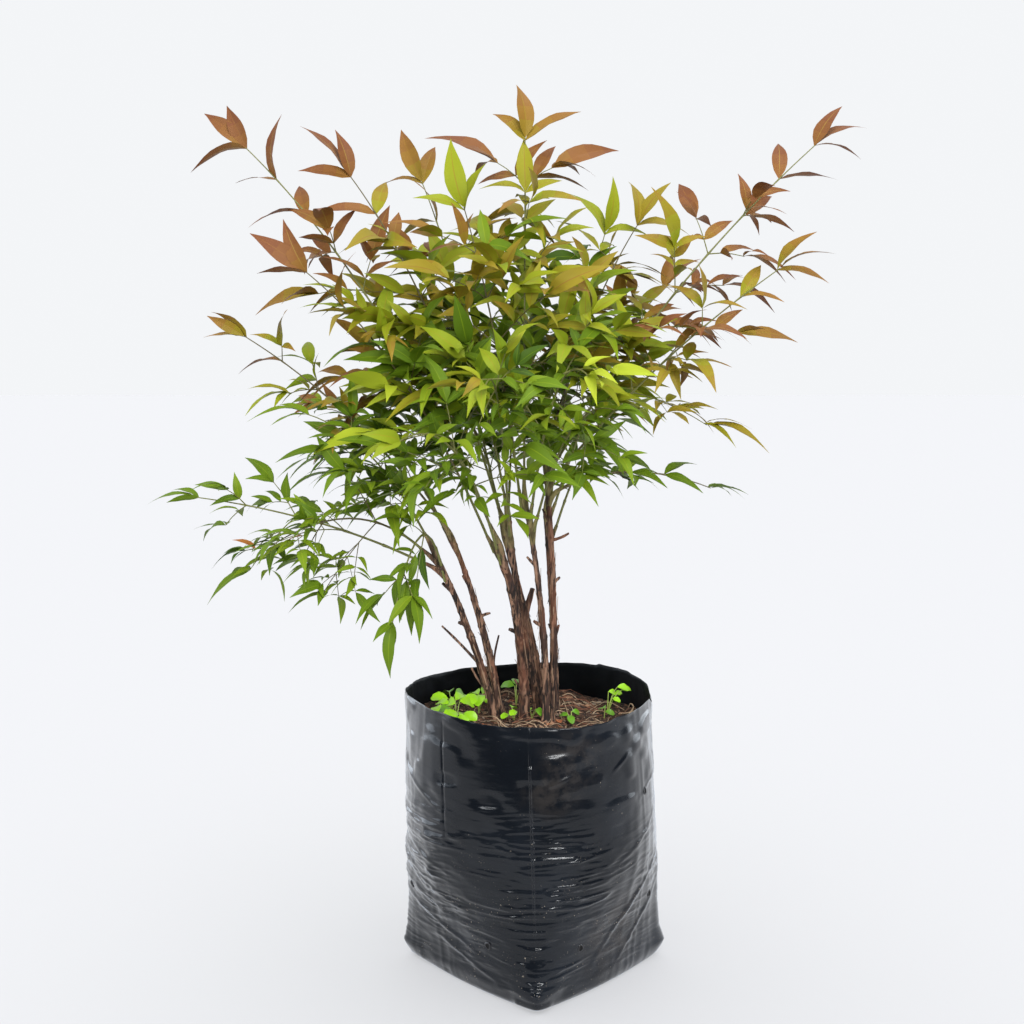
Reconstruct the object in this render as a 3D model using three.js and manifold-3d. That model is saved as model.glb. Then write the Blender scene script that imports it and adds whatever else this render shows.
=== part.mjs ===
// Heavenly bamboo (a flowering shrub, Nandina) growing in a black film nursery bag.
//
// Eight canes rise from the growing medium in the bag. Each carries compound leaves near its tip: a green
// stalk that arches out to its own side, with pairs of side stalks at its joints, and lance-shaped leaflets
// on those. The stalk at a cane's tip is leafy from its foot. The stalks below it start at the cane's side,
// and their bare lower stretch is a bough of its own. Every leafy stalk is one foliage mass.
//
// Frame: millimetres, +Z up, +X to the right and -Y to the front. The origin is the centre of the bag's
// flat underside. Angles are in degrees, and a heading is 0 along +X and 90 along +Y.
import * as THREE from "three";
import { mergeVertices } from "three/addons/utils/BufferGeometryUtils.js";
import Module from "manifold-3d";

const wasm = await Module();
wasm.setup();

// ---------------------------------------------------------------- driving dimensions

const CLEARANCE = 0.3; // between pieces that touch on the real plant
const JOINING_TOLERANCE = 0.02;
const STRAIGHTEST = 1e-4; // a curve that turns less than this, in radians, is straight

// The bag is a tube of film of one girth all the way up: square at its foot, round at its mouth.
const BAG = {
  height: 258,
  girth: 707,
  wall: 1.4,
  floor: 1.6,
  footShare: 0.94, // the flat underside is this much narrower than the bag just above it
  squareness: 0.8, // of the foot, where 1 would have sharp corners
  squareUpTo: 22,
  roundFrom: 155,
  bulge: 5, // how far the fill pushes the wall out at mid height
  mouthShift: -7, // the filled bag leans this far along X from foot to mouth
  earReach: 5, // how far the pinched ear at each corner sticks out
  earHeight: 15,
  earHalfWidth: 13, // in degrees
  rimWave: 3,
  rimTurn: 40, // in degrees
  sides: 32,
  levels: [15, 35, 80, 140, 228], // where the wall bends
};
const SOIL = { top: 228, flatRadius: 62, lump: 2.5 };

// A cane: where it leaves the soil, its tip, its radius at the soil and the tip, how far it bows along X,
// and the stubs of old side shoots, each as [share of the height, heading, rise, length, radius].
const CANES = {
  left_front: {
    foot: [-37, 15],
    tip: [-94, -20, 398],
    radii: [4.1, 2.9],
    bow: 6,
    stubs: [
      [0.34, 176, 46, 48, 1.4],
      [0.19, 178, 56, 24, 1.3],
      [0.57, 180, 20, 4, 2.2],
      [0.75, 170, 42, 10, 1.9],
    ],
  },
  left_back: {
    foot: [-32, 27],
    tip: [-80, 16, 408],
    radii: [4, 2.8],
    bow: 6,
    stubs: [
      [0.25, 12, 82, 34, 1.2],
      [0.55, 0, 22, 7, 1.6],
      [0.71, 165, 58, 9, 2.1],
    ],
  },
  thick: {
    foot: [-11, 20],
    tip: [-35, -20, 405],
    radii: [5.8, 3.9],
    bow: 8,
    stubs: [
      [0.5, 178, 25, 5, 2.1],
      [0.16, 186, 60, 12, 1.5],
    ],
  },
  middle: {
    foot: [6, 34],
    tip: [-26, 8, 428],
    radii: [4.5, 3.1],
    bow: -3,
    stubs: [[0.46, -14, 76, 34, 3.2]],
  },
  rear_centre: {
    foot: [12, 46],
    tip: [-30, 42, 402],
    radii: [4, 3],
    bow: 3,
    stubs: [[0.6, 60, 30, 14, 1.6]],
  },
  slender: {
    foot: [10, -2],
    tip: [-11, -12, 446],
    radii: [4, 2.7],
    bow: 6,
    stubs: [
      [0.45, 190, 32, 6, 1.9],
      [0.7, 205, 48, 10, 1.5],
    ],
  },
  right: {
    foot: [15, 9],
    tip: [8, 10, 478],
    radii: [3.9, 2.8],
    bow: 5,
    stubs: [
      [0.7, 2, 22, 14, 1.5],
      [0.54, 8, 42, 5, 1.6],
      [0.31, 0, 76, 16, 1.7],
      [0.76, 182, 64, 12, 1.3],
    ],
  },
  rear: {
    foot: [20, 31],
    tip: [10, 62, 424],
    radii: [3.8, 2.8],
    bow: 2,
    stubs: [[0.4, 110, 35, 11, 1.5]],
  },
};
const CANE = {
  sides: 6,
  steps: 5,
  flare: 0.28, // how much thicker the foot is
  flareHeight: 12,
  buried: 6, // the stretch below the soil, which is cut off
  stubSides: 4,
  stubTaper: 0.75,
};

// The compound leaves of each cane: the heading, rise and reach of a leaf's furthest leaflet tip from the
// cane's tip, how high its stalk arches as a share of that reach, how far its last pair of leaflets is
// turned about the stalk, how far its side stalks droop, the size of its leaflets, and how widely its side
// stalks spread. A cane's first leaf is at its tip, and the others follow down its side.
function leaf(heading, rise, reach, arch, turn, droop, size, spread) {
  return { heading, rise, reach, arch, turn, droop, size, spread };
}
const LEAVES = {
  left_front: {
    left_middle: leaf(192, 41, 205, 0.12, 60, 0.15, 0.85, 1),
    left_low: leaf(202, -3, 180, 0.17, 30, 0.3, 0.7, 1.1),
    far_left_low: leaf(180, 11, 258, 0.04, 50, 0.1, 0.72, 0.85),
    hanging_left: leaf(246, -46, 140, 0.42, 10, 0.4, 0.8, 1),
  },
  left_back: {
    far_left_middle: leaf(184, 42, 303, 0.06, 70, 0.12, 0.9, 0.62),
    rear_left_low: leaf(138, 25, 252, 0.14, 20, 0.2, 0.85, 1),
  },
  thick: {
    far_left_high: leaf(171, 55, 472, 0.08, 75, 0.1, 1.05, 0.5),
    left_high: leaf(191, 52, 345, 0.09, 60, 0.12, 1.05, 0.55),
    front_left: leaf(240, 22, 222, 0.22, 15, 0.25, 0.95, 1.1),
  },
  middle: {
    crown_left: leaf(143, 70, 374, 0.08, 60, 0.12, 1.1, 1),
    upper_left: leaf(188, 63, 385, 0.09, 80, 0.12, 1.1, 0.9),
    front_middle: leaf(264, 24, 246, 0.24, 0, 0.25, 0.95, 1.05),
  },
  rear_centre: {
    rear_left_high: leaf(126, 58, 345, 0.1, 40, 0.12, 1, 0.9),
    rear_middle: leaf(84, 47, 290, 0.13, 10, 0.18, 1, 1),
    rear_low: leaf(110, 24, 235, 0.18, 30, 0.25, 0.9, 1),
  },
  slender: {
    crown_top: leaf(88, 86, 376, 0.02, 0, 0.08, 1.15, 0.9),
    crown_middle: leaf(205, 76, 315, 0.07, 50, 0.12, 1.1, 1),
    front_right: leaf(288, 24, 226, 0.24, 0, 0.25, 0.95, 0.95),
    right_front: leaf(308, 22, 182, 0.22, 30, 0.3, 0.9, 0.75),
  },
  right: {
    right_high: leaf(20, 64, 284, 0.08, 60, 0.12, 1.05, 0.8),
    far_right_high: leaf(1, 48, 420, 0.05, 80, 0.1, 0.95, 0.6),
    far_right_middle: leaf(346, 38, 318, 0.04, 60, 0.15, 0.95, 0.7),
    right_low: leaf(6, -14, 200, 0.09, 70, 0.15, 0.75, 0.5),
  },
  rear: {
    upper_right: leaf(350, 77, 318, 0.06, 80, 0.12, 1.05, 0.85),
    rear_right_high: leaf(34, 52, 305, 0.1, 50, 0.12, 1, 0.8),
    rear_right: leaf(76, 36, 245, 0.16, 10, 0.22, 0.9, 0.9),
    rear_right_low: leaf(42, 26, 190, 0.18, 40, 0.22, 0.9, 0.75),
  },
};
const STALK = {
  radii: [1.8, 0.95], // at the cane and at the tip
  dropPerLeaf: 11, // each leaf starts this far below the one before it
  bendAt: 0.45, // share of the way out where the arch pulls
  passes: 4, // to settle where the stalk ends
  boughShare: 0.24, // the bare stretch that is a bough
  boughSides: 4,
  sides: 3, // of the leafy stretch
  firstJoint: 0.21, // share of the leafy stretch before its first joint
  jointSpacing: 49,
  rollPerJoint: 75, // each pair of side stalks is turned this far from the pair above it
};
const SIDE_STALK = {
  radii: [0.95, 0.75],
  sides: 3,
  splay: 54, // from the stalk's own direction
  lengthShare: 0.5, // of the stalk's remaining length, leaflet and all
  shortest: 0.85, // of a leaflet: anything shorter is a single leaflet
  endLeaflet: 0.45, // of a leaflet: how much of the length its end leaflet takes up
  firstJoint: 0.4,
  jointSpacing: 34,
  roll: 60,
  joined: 0.2, // the share of it that may touch its own plant
};
const LEAFLET = {
  length: 62,
  sideShare: 0.84, // the length of a leaflet beside the end one, as a share of it
  breadth: 0.35, // this and the next four are shares of the leaflet's length
  widestAt: 0.42,
  arch: 0.05,
  thickness: 0.026,
  tipFall: 0.13,
  joined: 0.13, // the share of it that may touch its own plant
  rooted: 0.2, // how far the base is sunk past the middle of the stalk, in millimetres
  tries: 4, // ways of facing that a leaflet tries before it is left out
};
// How far beyond its own edges a leaflet's space reaches, to keep the others clear of it.
const MARGIN = { tip: 1.5, edge: 1, face: 0.35 };
// Up to how much one leaflet or side stalk differs from the next.
const VARIATION = { splay: 9, rise: 0.14, length: 0.12, tilt: 0.9, roll: 25 };
const KEYS_PER_AXIS = 8; // an axis gives each of its branches a key of its own
const FACING = { up: 1, outward: 0.6 };
const CROWN_AXIS = [-25, 5];

// ---------------------------------------------------------------- small helpers

const { degToRad, euclideanModulo, lerp: mix, radToDeg, smootherstep } = THREE.MathUtils;
const UP = new THREE.Vector3(0, 0, 1);
const point = (x, y, z) => new THREE.Vector3(x, y, z);
const along = (start, direction, distance) => start.clone().addScaledVector(direction, distance);

// The unit vector of a heading and a rise above the level.
function bearing(heading, rise) {
  const level = Math.cos(degToRad(rise));
  return point(
    level * Math.cos(degToRad(heading)),
    level * Math.sin(degToRad(heading)),
    Math.sin(degToRad(rise)),
  );
}

// Each of a key's draws has its own number. A tilt takes three, and a roll takes one for each joint.
const DRAW = { splay: 1, rise: 2, reach: 3, turn: 4, length: 5, tilt: 6, roll: 20 };

// A repeatable number from -1 to 1 for a key and a draw.
function wobble(key, draw) {
  const wave = Math.sin(key * 12.9898 + draw * 78.233) * 43758.5453;
  return 2 * (wave - Math.floor(wave)) - 1;
}

// Moves every vertex of a geometry to where place puts it.
function reshape(geometry, place) {
  const position = geometry.attributes.position;
  const vertex = new THREE.Vector3();
  for (let index = 0; index < position.count; index++) {
    const moved = place(vertex.fromBufferAttribute(position, index));
    position.setXYZ(index, moved.x, moved.y, moved.z);
  }
  return geometry;
}

// The unit vector square to the plane that a flat curve lies in. A straight one takes the upright plane.
function squareTo(curve) {
  const start = curve.getTangent(0);
  const normal = start.clone().cross(curve.getTangent(1));
  return normal.length() > STRAIGHTEST ? normal.normalize() : start.cross(UP).normalize();
}

const evenly = (steps) => Array.from({ length: steps + 1 }, (_, step) => step / steps);

// A tapering limb along a flat curve, with a ring at each of the given shares of its length. It is a
// cylinder, bent.
function limb(curve, radiusAt, sides, shares) {
  const side = squareTo(curve);
  const steps = shares.length - 1;
  return reshape(new THREE.CylinderGeometry(1, 1, 1, sides, steps), (vertex) => {
    const share = shares[Math.round((vertex.y + 0.5) * steps)];
    const other = side.clone().cross(curve.getTangentAt(share));
    const radius = radiusAt(share);
    return curve
      .getPointAt(share)
      .addScaledVector(side, vertex.x * radius)
      .addScaledVector(other, vertex.z * radius);
  });
}

// ---------------------------------------------------------------- joining

function solidOf(geometry) {
  const bare = geometry.clone();
  bare.deleteAttribute("normal");
  bare.deleteAttribute("uv");
  const merged = mergeVertices(bare, 1e-4);
  const corners = merged.index.array;
  const triangles = [];
  for (let index = 0; index < corners.length; index += 3) {
    const [a, b, c] = corners.slice(index, index + 3);
    if (a !== b && b !== c && c !== a) triangles.push(a, b, c);
  }
  const mesh = new wasm.Mesh({
    numProp: 3,
    vertProperties: merged.attributes.position.array,
    triVerts: new Uint32Array(triangles),
  });
  return new wasm.Manifold(mesh);
}

function geometryOf(manifold) {
  const mesh = manifold.getMesh();
  const geometry = new THREE.BufferGeometry();
  geometry.setAttribute("position", new THREE.BufferAttribute(mesh.vertProperties, 3));
  geometry.setIndex(new THREE.BufferAttribute(mesh.triVerts, 1));
  return geometry;
}

// All pieces joined, less any scrap that touches none of the others.
function joined(pieces) {
  const bodies = wasm.Manifold.union(pieces).simplify(JOINING_TOLERANCE).decompose();
  return bodies.reduce((largest, body) => (body.volume() > largest.volume() ? body : largest));
}

// ---------------------------------------------------------------- materials and meshes

const matte = (color, roughness) => new THREE.MeshStandardMaterial({ color, roughness, metalness: 0 });
const FILM = matte(0x1b1e22, 0.32);
const MEDIUM = matte(0x4a3426, 0.95);
const BARK = matte(0x6e4f3f, 0.85);
const GREEN_STEM = matte(0x6a7a35, 0.6);
const FOLIAGE = { low: matte(0x4f8422, 0.5), middle: matte(0x7f8a2b, 0.5), high: matte(0xa06636, 0.5) };
const FOLIAGE_FROM = { low: 0, middle: 500, high: 600 };

const plant = new THREE.Group();

function add(name, manifold, material) {
  const mesh = new THREE.Mesh(geometryOf(manifold), material);
  mesh.name = name;
  plant.add(mesh);
}

// ---------------------------------------------------------------- bag and growing medium

const MOUTH_RADIUS = BAG.girth / (2 * Math.PI);
const HALF_SIDE = BAG.girth / 8;

// The filled bag's outer radius at an angle and a height. Its foot's corners point along X and Y.
function bagRadius(angle, z) {
  const fromCorner = Math.abs(euclideanModulo(angle + 45, 90) - 45);
  const square = HALF_SIDE / Math.cos(degToRad(45 - fromCorner));
  const squareness = BAG.squareness * (1 - smootherstep(z, BAG.squareUpTo, BAG.roundFrom));
  const earUp = Math.max(0, 1 - Math.abs(z - BAG.earHeight) / BAG.earHeight);
  const ear = BAG.earReach * earUp * Math.max(0, 1 - fromCorner / BAG.earHalfWidth);
  const bulge = BAG.bulge * Math.sin((Math.PI * Math.min(z, BAG.height)) / BAG.height);
  return mix(MOUTH_RADIUS, square, squareness) + bulge + ear;
}

// A round solid of the profile points (radius, height), pressed into the bag's own shape. A radius of
// MOUTH_RADIUS lies on the bag's outside, and lift raises a point at an angle and a share of that radius.
function bagShape(profile, lift) {
  const points = profile.map(([radius, z]) => new THREE.Vector2(radius, z));
  const round = new THREE.LatheGeometry(points, BAG.sides).rotateX(Math.PI / 2);
  return solidOf(
    reshape(round, ({ x, y, z }) => {
      const radius = Math.hypot(x, y);
      const angle = radToDeg(Math.atan2(y, x));
      const reach = bagRadius(angle, z) / MOUTH_RADIUS;
      const lean = (BAG.mouthShift * z) / BAG.height;
      return point(x * reach + lean, y * reach, z + lift(angle, radius, z));
    }),
  );
}

const walls = (radius) => BAG.levels.map((z) => [radius, z]);
const rimLift = (angle, radius, z) =>
  z < BAG.height ? 0 : BAG.rimWave * Math.sin(degToRad(2 * angle + BAG.rimTurn));

const outside = bagShape(
  [
    [0, 0],
    [MOUTH_RADIUS * BAG.footShare, 0],
    ...walls(MOUTH_RADIUS),
    [MOUTH_RADIUS, BAG.height],
    [0, BAG.height],
  ],
  rimLift,
);
const insideRadius = MOUTH_RADIUS - BAG.wall;
const hollow = bagShape(
  [
    [0, BAG.floor],
    [insideRadius * BAG.footShare, BAG.floor],
    ...walls(insideRadius),
    [insideRadius, BAG.height + 2 * BAG.rimWave],
    [0, BAG.height + 2 * BAG.rimWave],
  ],
  () => 0,
);
add("bag", outside.subtract(hollow), FILM);

// The growing medium fills the bag to below its rim, flat where the canes stand and lumpy round its edge.
const soilRadius = insideRadius - CLEARANCE;
const soilLift = (angle, radius, z) => {
  const atEdge = z === SOIL.top && radius > 1.01 * SOIL.flatRadius;
  return atEdge ? SOIL.lump * wobble(Math.round(angle), Math.round(radius)) : 0;
};
const soil = bagShape(
  [
    [0, BAG.floor + CLEARANCE],
    [soilRadius * BAG.footShare, BAG.floor + CLEARANCE],
    ...walls(soilRadius),
    [(soilRadius + SOIL.flatRadius) / 2, SOIL.top],
    [SOIL.flatRadius, SOIL.top],
    [0, SOIL.top],
  ],
  soilLift,
);
add("growing_medium", soil, MEDIUM);

// ---------------------------------------------------------------- canes

const GROUND = SOIL.top + CLEARANCE;

for (const [name, cane] of Object.entries(CANES)) {
  const foot = point(...cane.foot, GROUND - CANE.buried);
  const tip = point(...cane.tip);
  const bend = foot.clone().lerp(tip, 0.5).add(point(2 * cane.bow, 0, 0));
  cane.curve = new THREE.QuadraticBezierCurve3(foot, bend, tip);
  cane.length = cane.curve.getLength();
  cane.radiusAt = (share) => {
    const aboveSoil = share * cane.length - CANE.buried;
    return mix(...cane.radii, share) * (1 + CANE.flare * Math.exp(-aboveSoil / CANE.flareHeight));
  };
  const pieces = [limb(cane.curve, cane.radiusAt, CANE.sides, evenly(CANE.steps))];
  for (const [share, heading, rise, length, radius] of cane.stubs) {
    const start = cane.curve.getPointAt(share);
    const end = along(start, bearing(heading, rise), length + cane.radii[0]);
    const stub = new THREE.LineCurve3(start, end);
    pieces.push(limb(stub, (at) => radius * mix(1, CANE.stubTaper, at), CANE.stubSides, [0, 1]));
  }
  // The cut at the soil is flat.
  cane.solid = joined(pieces.map(solidOf)).trimByPlane([0, 0, 1], GROUND);
  add("cane_" + name, cane.solid, BARK);
}

// ---------------------------------------------------------------- stalks and boughs

// The solids already in place, with their owners.
const placed = [];
const keep = (owner, solid) => placed.push({ owner, solid, box: solid.boundingBox() });

// Whether a solid touches none of the placed pieces whose owner counts.
function isFree(solid, counts) {
  const box = solid.boundingBox();
  const apart = (other) =>
    [0, 1, 2].some((axis) => other.min[axis] > box.max[axis] || other.max[axis] < box.min[axis]);
  return !placed.some(
    (piece) => counts(piece.owner) && !apart(piece.box) && !piece.solid.intersect(solid).isEmpty(),
  );
}

const stalkRadius = (share) => mix(...STALK.radii, share);

// A stalk arches in the upright plane of its heading. It starts over its cane's tip or beside the cane, and
// ends where its end leaflet reaches the leaf's furthest tip.
function stalkCurve(leaf, cane, order) {
  const share = 1 - (order * STALK.dropPerLeaf) / cane.length;
  const start = cane.curve.getPointAt(share);
  const target = along(point(...cane.tip), bearing(leaf.heading, leaf.rise), leaf.reach);
  const leaflet = LEAFLET.length * leaf.size;
  const end = target.clone();
  const bend = point(0, 0, 0);
  for (let pass = 0; pass < STALK.passes; pass++) {
    bend.lerpVectors(start, end, STALK.bendAt);
    bend.z += 2 * leaf.arch * leaf.reach;
    const onward = end.clone().sub(bend).normalize();
    end.copy(target).addScaledVector(onward, -leaflet).addScaledVector(UP, LEAFLET.tipFall * leaflet);
  }
  const climb = bend.clone().sub(start).normalize();
  if (order === 0) {
    const tilt = climb.angleTo(cane.curve.getTangentAt(1));
    const above = (CLEARANCE + STALK.radii[0] * Math.sin(tilt)) / Math.cos(tilt);
    start.addScaledVector(climb, above);
  } else {
    const outward = bearing(leaf.heading, 0);
    const lean = Math.max(0, cane.curve.getTangentAt(share).dot(outward));
    const beside = cane.radiusAt(share) + CLEARANCE + STALK.radii[0] * (Math.abs(climb.z) + lean);
    start.addScaledVector(outward, beside);
  }
  return new THREE.QuadraticBezierCurve3(start, bend, end);
}

const leaves = [];
for (const [caneName, leavesOfCane] of Object.entries(LEAVES)) {
  for (const [order, [name, leaf]] of Object.entries(leavesOfCane).entries()) {
    const curve = stalkCurve(leaf, CANES[caneName], order);
    const length = curve.getLength();
    const from = order > 0 ? STALK.boughShare + CLEARANCE / length : 0;
    leaves.push({ ...leaf, name, curve, length, from });
    if (order > 0) {
      const shares = [0, STALK.boughShare / 2, STALK.boughShare];
      const bough = solidOf(limb(curve, stalkRadius, STALK.boughSides, shares));
      add("bough_" + name, bough, GREEN_STEM);
      keep("bough_" + name, bough);
    }
  }
}
for (const [name, cane] of Object.entries(CANES)) keep("cane_" + name, cane.solid);

// ---------------------------------------------------------------- leaflets

// The corners of a leaflet: its ends, its two edges where it is widest, and the ridge of its midrib there.
function leafletCorners({ base, direction, normal, length }) {
  const side = direction.clone().cross(normal);
  const half = (LEAFLET.breadth * length) / 2;
  const widest = along(base, direction, LEAFLET.widestAt * length);
  widest.addScaledVector(normal, LEAFLET.arch * length);
  return {
    root: along(base, direction, -LEAFLET.rooted),
    tip: along(base, direction, length).addScaledVector(UP, -LEAFLET.tipFall * length),
    above: along(widest, normal, LEAFLET.thickness * length),
    under: widest,
    left: along(widest, side, half),
    right: along(widest, side, -half),
  };
}

// A leaflet is a sphere of six faces drawn out to a lance shape, with a ridge along its midrib.
function leafletSolid(leaflet) {
  const { root, tip, above, left, right } = leafletCorners(leaflet);
  const shape = reshape(new THREE.SphereGeometry(1, 3, 2), ({ x, y, z }) => {
    if (Math.abs(y) > 0.5) return y > 0 ? tip : root;
    if (x < 0) return above;
    return z > 0 ? left : right;
  });
  return solidOf(shape);
}

// The space that a leaflet needs beyond a share of its length, a little past its own edges.
function leafletSpace(leaflet, from) {
  const { base, direction, normal, length } = leaflet;
  const { root, tip, above, under, left, right } = leafletCorners(leaflet);
  const side = direction.clone().cross(normal);
  const corners = {
    root: from > 0 ? along(base, direction, from * length) : root,
    tip: along(tip, direction, MARGIN.tip),
    above: along(above, normal, MARGIN.face),
    under: along(under, normal, -MARGIN.face),
    left: along(left, side, MARGIN.edge),
    right: along(right, side, -MARGIN.edge),
  };
  const shape = reshape(new THREE.OctahedronGeometry(1, 0), ({ x, y, z }) => {
    if (Math.abs(x) > 0.5) return x > 0 ? corners.tip : corners.root;
    if (Math.abs(y) > 0.5) return y > 0 ? corners.above : corners.under;
    return z > 0 ? corners.left : corners.right;
  });
  return solidOf(shape);
}

// A leaflet faces up and away from the middle of the crown, each with a tilt of its own.
function leafletNormal(base, direction, key) {
  const outward = point(base.x - CROWN_AXIS[0], base.y - CROWN_AXIS[1], 0).normalize();
  const tilt = point(...[0, 1, 2].map((axis) => wobble(key, DRAW.tilt + axis)));
  const facing = UP.clone()
    .multiplyScalar(FACING.up)
    .addScaledVector(outward, FACING.outward)
    .addScaledVector(tilt, VARIATION.tilt);
  return facing.addScaledVector(direction, -facing.dot(direction)).normalize();
}

// Adds a leaflet that is clear of the other masses and, past its root, of its own.
function growLeaflet(mass, { base, direction, key }, size) {
  const length = LEAFLET.length * mass.size * size * (1 + VARIATION.length * wobble(key, DRAW.length));
  for (let attempt = 0; attempt < LEAFLET.tries; attempt++) {
    const normal = leafletNormal(base, direction, key + attempt / LEAFLET.tries);
    const leaflet = { base, direction, normal, length };
    const clearOfOthers = isFree(leafletSpace(leaflet, 0), (owner) => owner !== mass.name);
    const pastRoot = leafletSpace(leaflet, LEAFLET.joined);
    if (clearOfOthers && isFree(pastRoot, (owner) => owner === mass.name)) {
      const solid = leafletSolid(leaflet);
      keep(mass.name, solid);
      mass.pieces.push(solid);
      return;
    }
  }
}

// ---------------------------------------------------------------- side stalks

// How many joints fit on a leafy stretch.
const jointCount = (stretch, rule) => Math.max(1, Math.round(stretch / rule.jointSpacing));

// Grows a pair of side stalks or leaflets at each joint of an axis, and a leaflet at its end.
function leafAxis(mass, { joints, tip, side, key, turn }, grow) {
  for (const [joint, { base, forward, rest }] of joints.entries()) {
    const fromLast = joints.length - 1 - joint;
    const roll = turn + fromLast * STALK.rollPerJoint + VARIATION.roll * wobble(key, DRAW.roll + joint);
    const across = side.clone().applyAxisAngle(forward, degToRad(roll));
    for (const hand of [0, 1]) {
      const branchKey = key * KEYS_PER_AXIS + joint * 2 + hand + 1;
      const splay = degToRad(SIDE_STALK.splay + VARIATION.splay * wobble(branchKey, DRAW.splay));
      const direction = forward
        .clone()
        .multiplyScalar(Math.cos(splay))
        .addScaledVector(across, (hand ? 1 : -1) * Math.sin(splay))
        .addScaledVector(UP, VARIATION.rise * wobble(branchKey, DRAW.rise))
        .normalize();
      grow({ base, direction, key: branchKey, rest });
    }
  }
  growLeaflet(mass, { base: tip.base, direction: tip.forward, key: key * KEYS_PER_AXIS }, 1);
}

const sideRadius = (share) => mix(...SIDE_STALK.radii, share);

// Adds a straight side stalk with leaflets of its own, or a single leaflet where it would be too short.
function growSideStalk(mass, place) {
  const { base, direction, key, rest } = place;
  const vary = 1 + VARIATION.length * wobble(key, DRAW.reach);
  const leaflet = LEAFLET.length * mass.size;
  const reach = (rest + leaflet) * SIDE_STALK.lengthShare * mass.spread * vary;
  if (reach < leaflet * SIDE_STALK.shortest) {
    growLeaflet(mass, place, LEAFLET.sideShare);
    return;
  }
  const length = reach - leaflet * SIDE_STALK.endLeaflet;
  const end = along(base, direction, length).addScaledVector(UP, -mass.droop * length);
  const line = new THREE.LineCurve3(base, end);
  const wide = (share) => sideRadius(share) + CLEARANCE;
  const space = (from) => solidOf(limb(line, wide, SIDE_STALK.sides, [from, 1]));
  if (!isFree(space(0), (owner) => owner !== mass.name)) return;
  if (!isFree(space(SIDE_STALK.joined), (owner) => owner === mass.name)) return;
  const solid = solidOf(limb(line, sideRadius, SIDE_STALK.sides, [0, 1]));
  keep(mass.name, solid);
  mass.pieces.push(solid);
  const forward = line.getTangent(0);
  const count = jointCount(length * (1 - SIDE_STALK.firstJoint), SIDE_STALK);
  const joints = evenly(count)
    .slice(0, -1)
    .map((share) => ({ base: line.getPointAt(mix(SIDE_STALK.firstJoint, 1, share)), forward }));
  const side = forward.clone().cross(UP).normalize();
  const turn = SIDE_STALK.roll * wobble(key, DRAW.turn);
  const axis = { joints, tip: { base: end, forward }, side, key, turn };
  leafAxis(mass, axis, (place) => growLeaflet(mass, place, LEAFLET.sideShare));
}

// ---------------------------------------------------------------- foliage masses

// The rings and joints of a mass's stalk. Each joint lies on a straight stretch between two rings.
function stalkJoints({ curve, length, from }) {
  const first = mix(from, 1, STALK.firstJoint);
  const count = jointCount(length * (1 - first), STALK);
  const shares = evenly(count).map((share) => mix(first, 1, share));
  const between = shares.slice(1).map((share, index) => mix(shares[index], share, 0.5));
  const rings = [from, mix(from, first, 0.5), ...between, 1];
  const joints = between.map((_, index) => {
    const low = curve.getPointAt(rings[index + 1]);
    const high = curve.getPointAt(rings[index + 2]);
    const onward = (shares[index] - rings[index + 1]) / (rings[index + 2] - rings[index + 1]);
    const base = low.clone().lerp(high, onward);
    return { base, forward: high.sub(low).normalize(), rest: length * (1 - shares[index]) };
  });
  return { rings, joints };
}

// Every stalk is in place before the first leaflet grows.
const masses = leaves.map((leaf, index) => {
  const { rings, joints } = stalkJoints(leaf);
  const stalk = solidOf(limb(leaf.curve, stalkRadius, STALK.sides, rings));
  const mass = { ...leaf, name: "foliage_" + leaf.name, key: index + 1, joints, pieces: [stalk] };
  keep(mass.name, stalk);
  return mass;
});

for (const mass of masses) {
  const side = mass.curve.getTangentAt(0.5).cross(UP).normalize();
  const tip = { base: mass.curve.getPointAt(1), forward: mass.curve.getTangentAt(1) };
  leafAxis(mass, { ...mass, side, tip }, (place) => growSideStalk(mass, place));
  const tint = Object.keys(FOLIAGE_FROM).findLast((level) => tip.base.z >= FOLIAGE_FROM[level]);
  add(mass.name, joined(mass.pieces), FOLIAGE[tint]);
}

export default plant;
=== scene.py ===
"""Heavenly bamboo in a black film nursery bag: its finished look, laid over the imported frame.

Lengths are in millimetres and angles in degrees, until a mesh is built in metres. The origin is the centre of
the bag's flat underside, with +Z up, +X to the right and -Y to the front.
"""
import itertools
import math

import bpy
import numpy as np
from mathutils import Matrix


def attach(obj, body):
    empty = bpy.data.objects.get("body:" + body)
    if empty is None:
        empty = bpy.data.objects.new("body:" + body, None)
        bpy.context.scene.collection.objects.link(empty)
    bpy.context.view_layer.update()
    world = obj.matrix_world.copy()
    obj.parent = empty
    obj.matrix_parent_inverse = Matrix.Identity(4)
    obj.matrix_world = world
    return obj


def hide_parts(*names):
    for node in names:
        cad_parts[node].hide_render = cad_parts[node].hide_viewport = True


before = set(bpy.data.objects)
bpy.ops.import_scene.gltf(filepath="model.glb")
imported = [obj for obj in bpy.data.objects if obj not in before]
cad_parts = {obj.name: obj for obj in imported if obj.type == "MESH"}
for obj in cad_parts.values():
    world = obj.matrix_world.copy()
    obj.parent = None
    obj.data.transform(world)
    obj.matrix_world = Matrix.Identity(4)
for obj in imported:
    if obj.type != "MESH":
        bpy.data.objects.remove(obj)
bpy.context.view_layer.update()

METRES = 0.001
UP = np.array([0.0, 0.0, 1.0])
RIGHT = np.array([1.0, 0.0, 0.0])
REAR = np.array([0.0, 1.0, 0.0])
FRONT = -REAR
UPRIGHT = 0.95  # a direction that climbs more than this is taken as upright
chance = np.random.default_rng(41)

# ---------------------------------------------------------------- the frame's driving dimensions

CLEARANCE = 0.3

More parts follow.
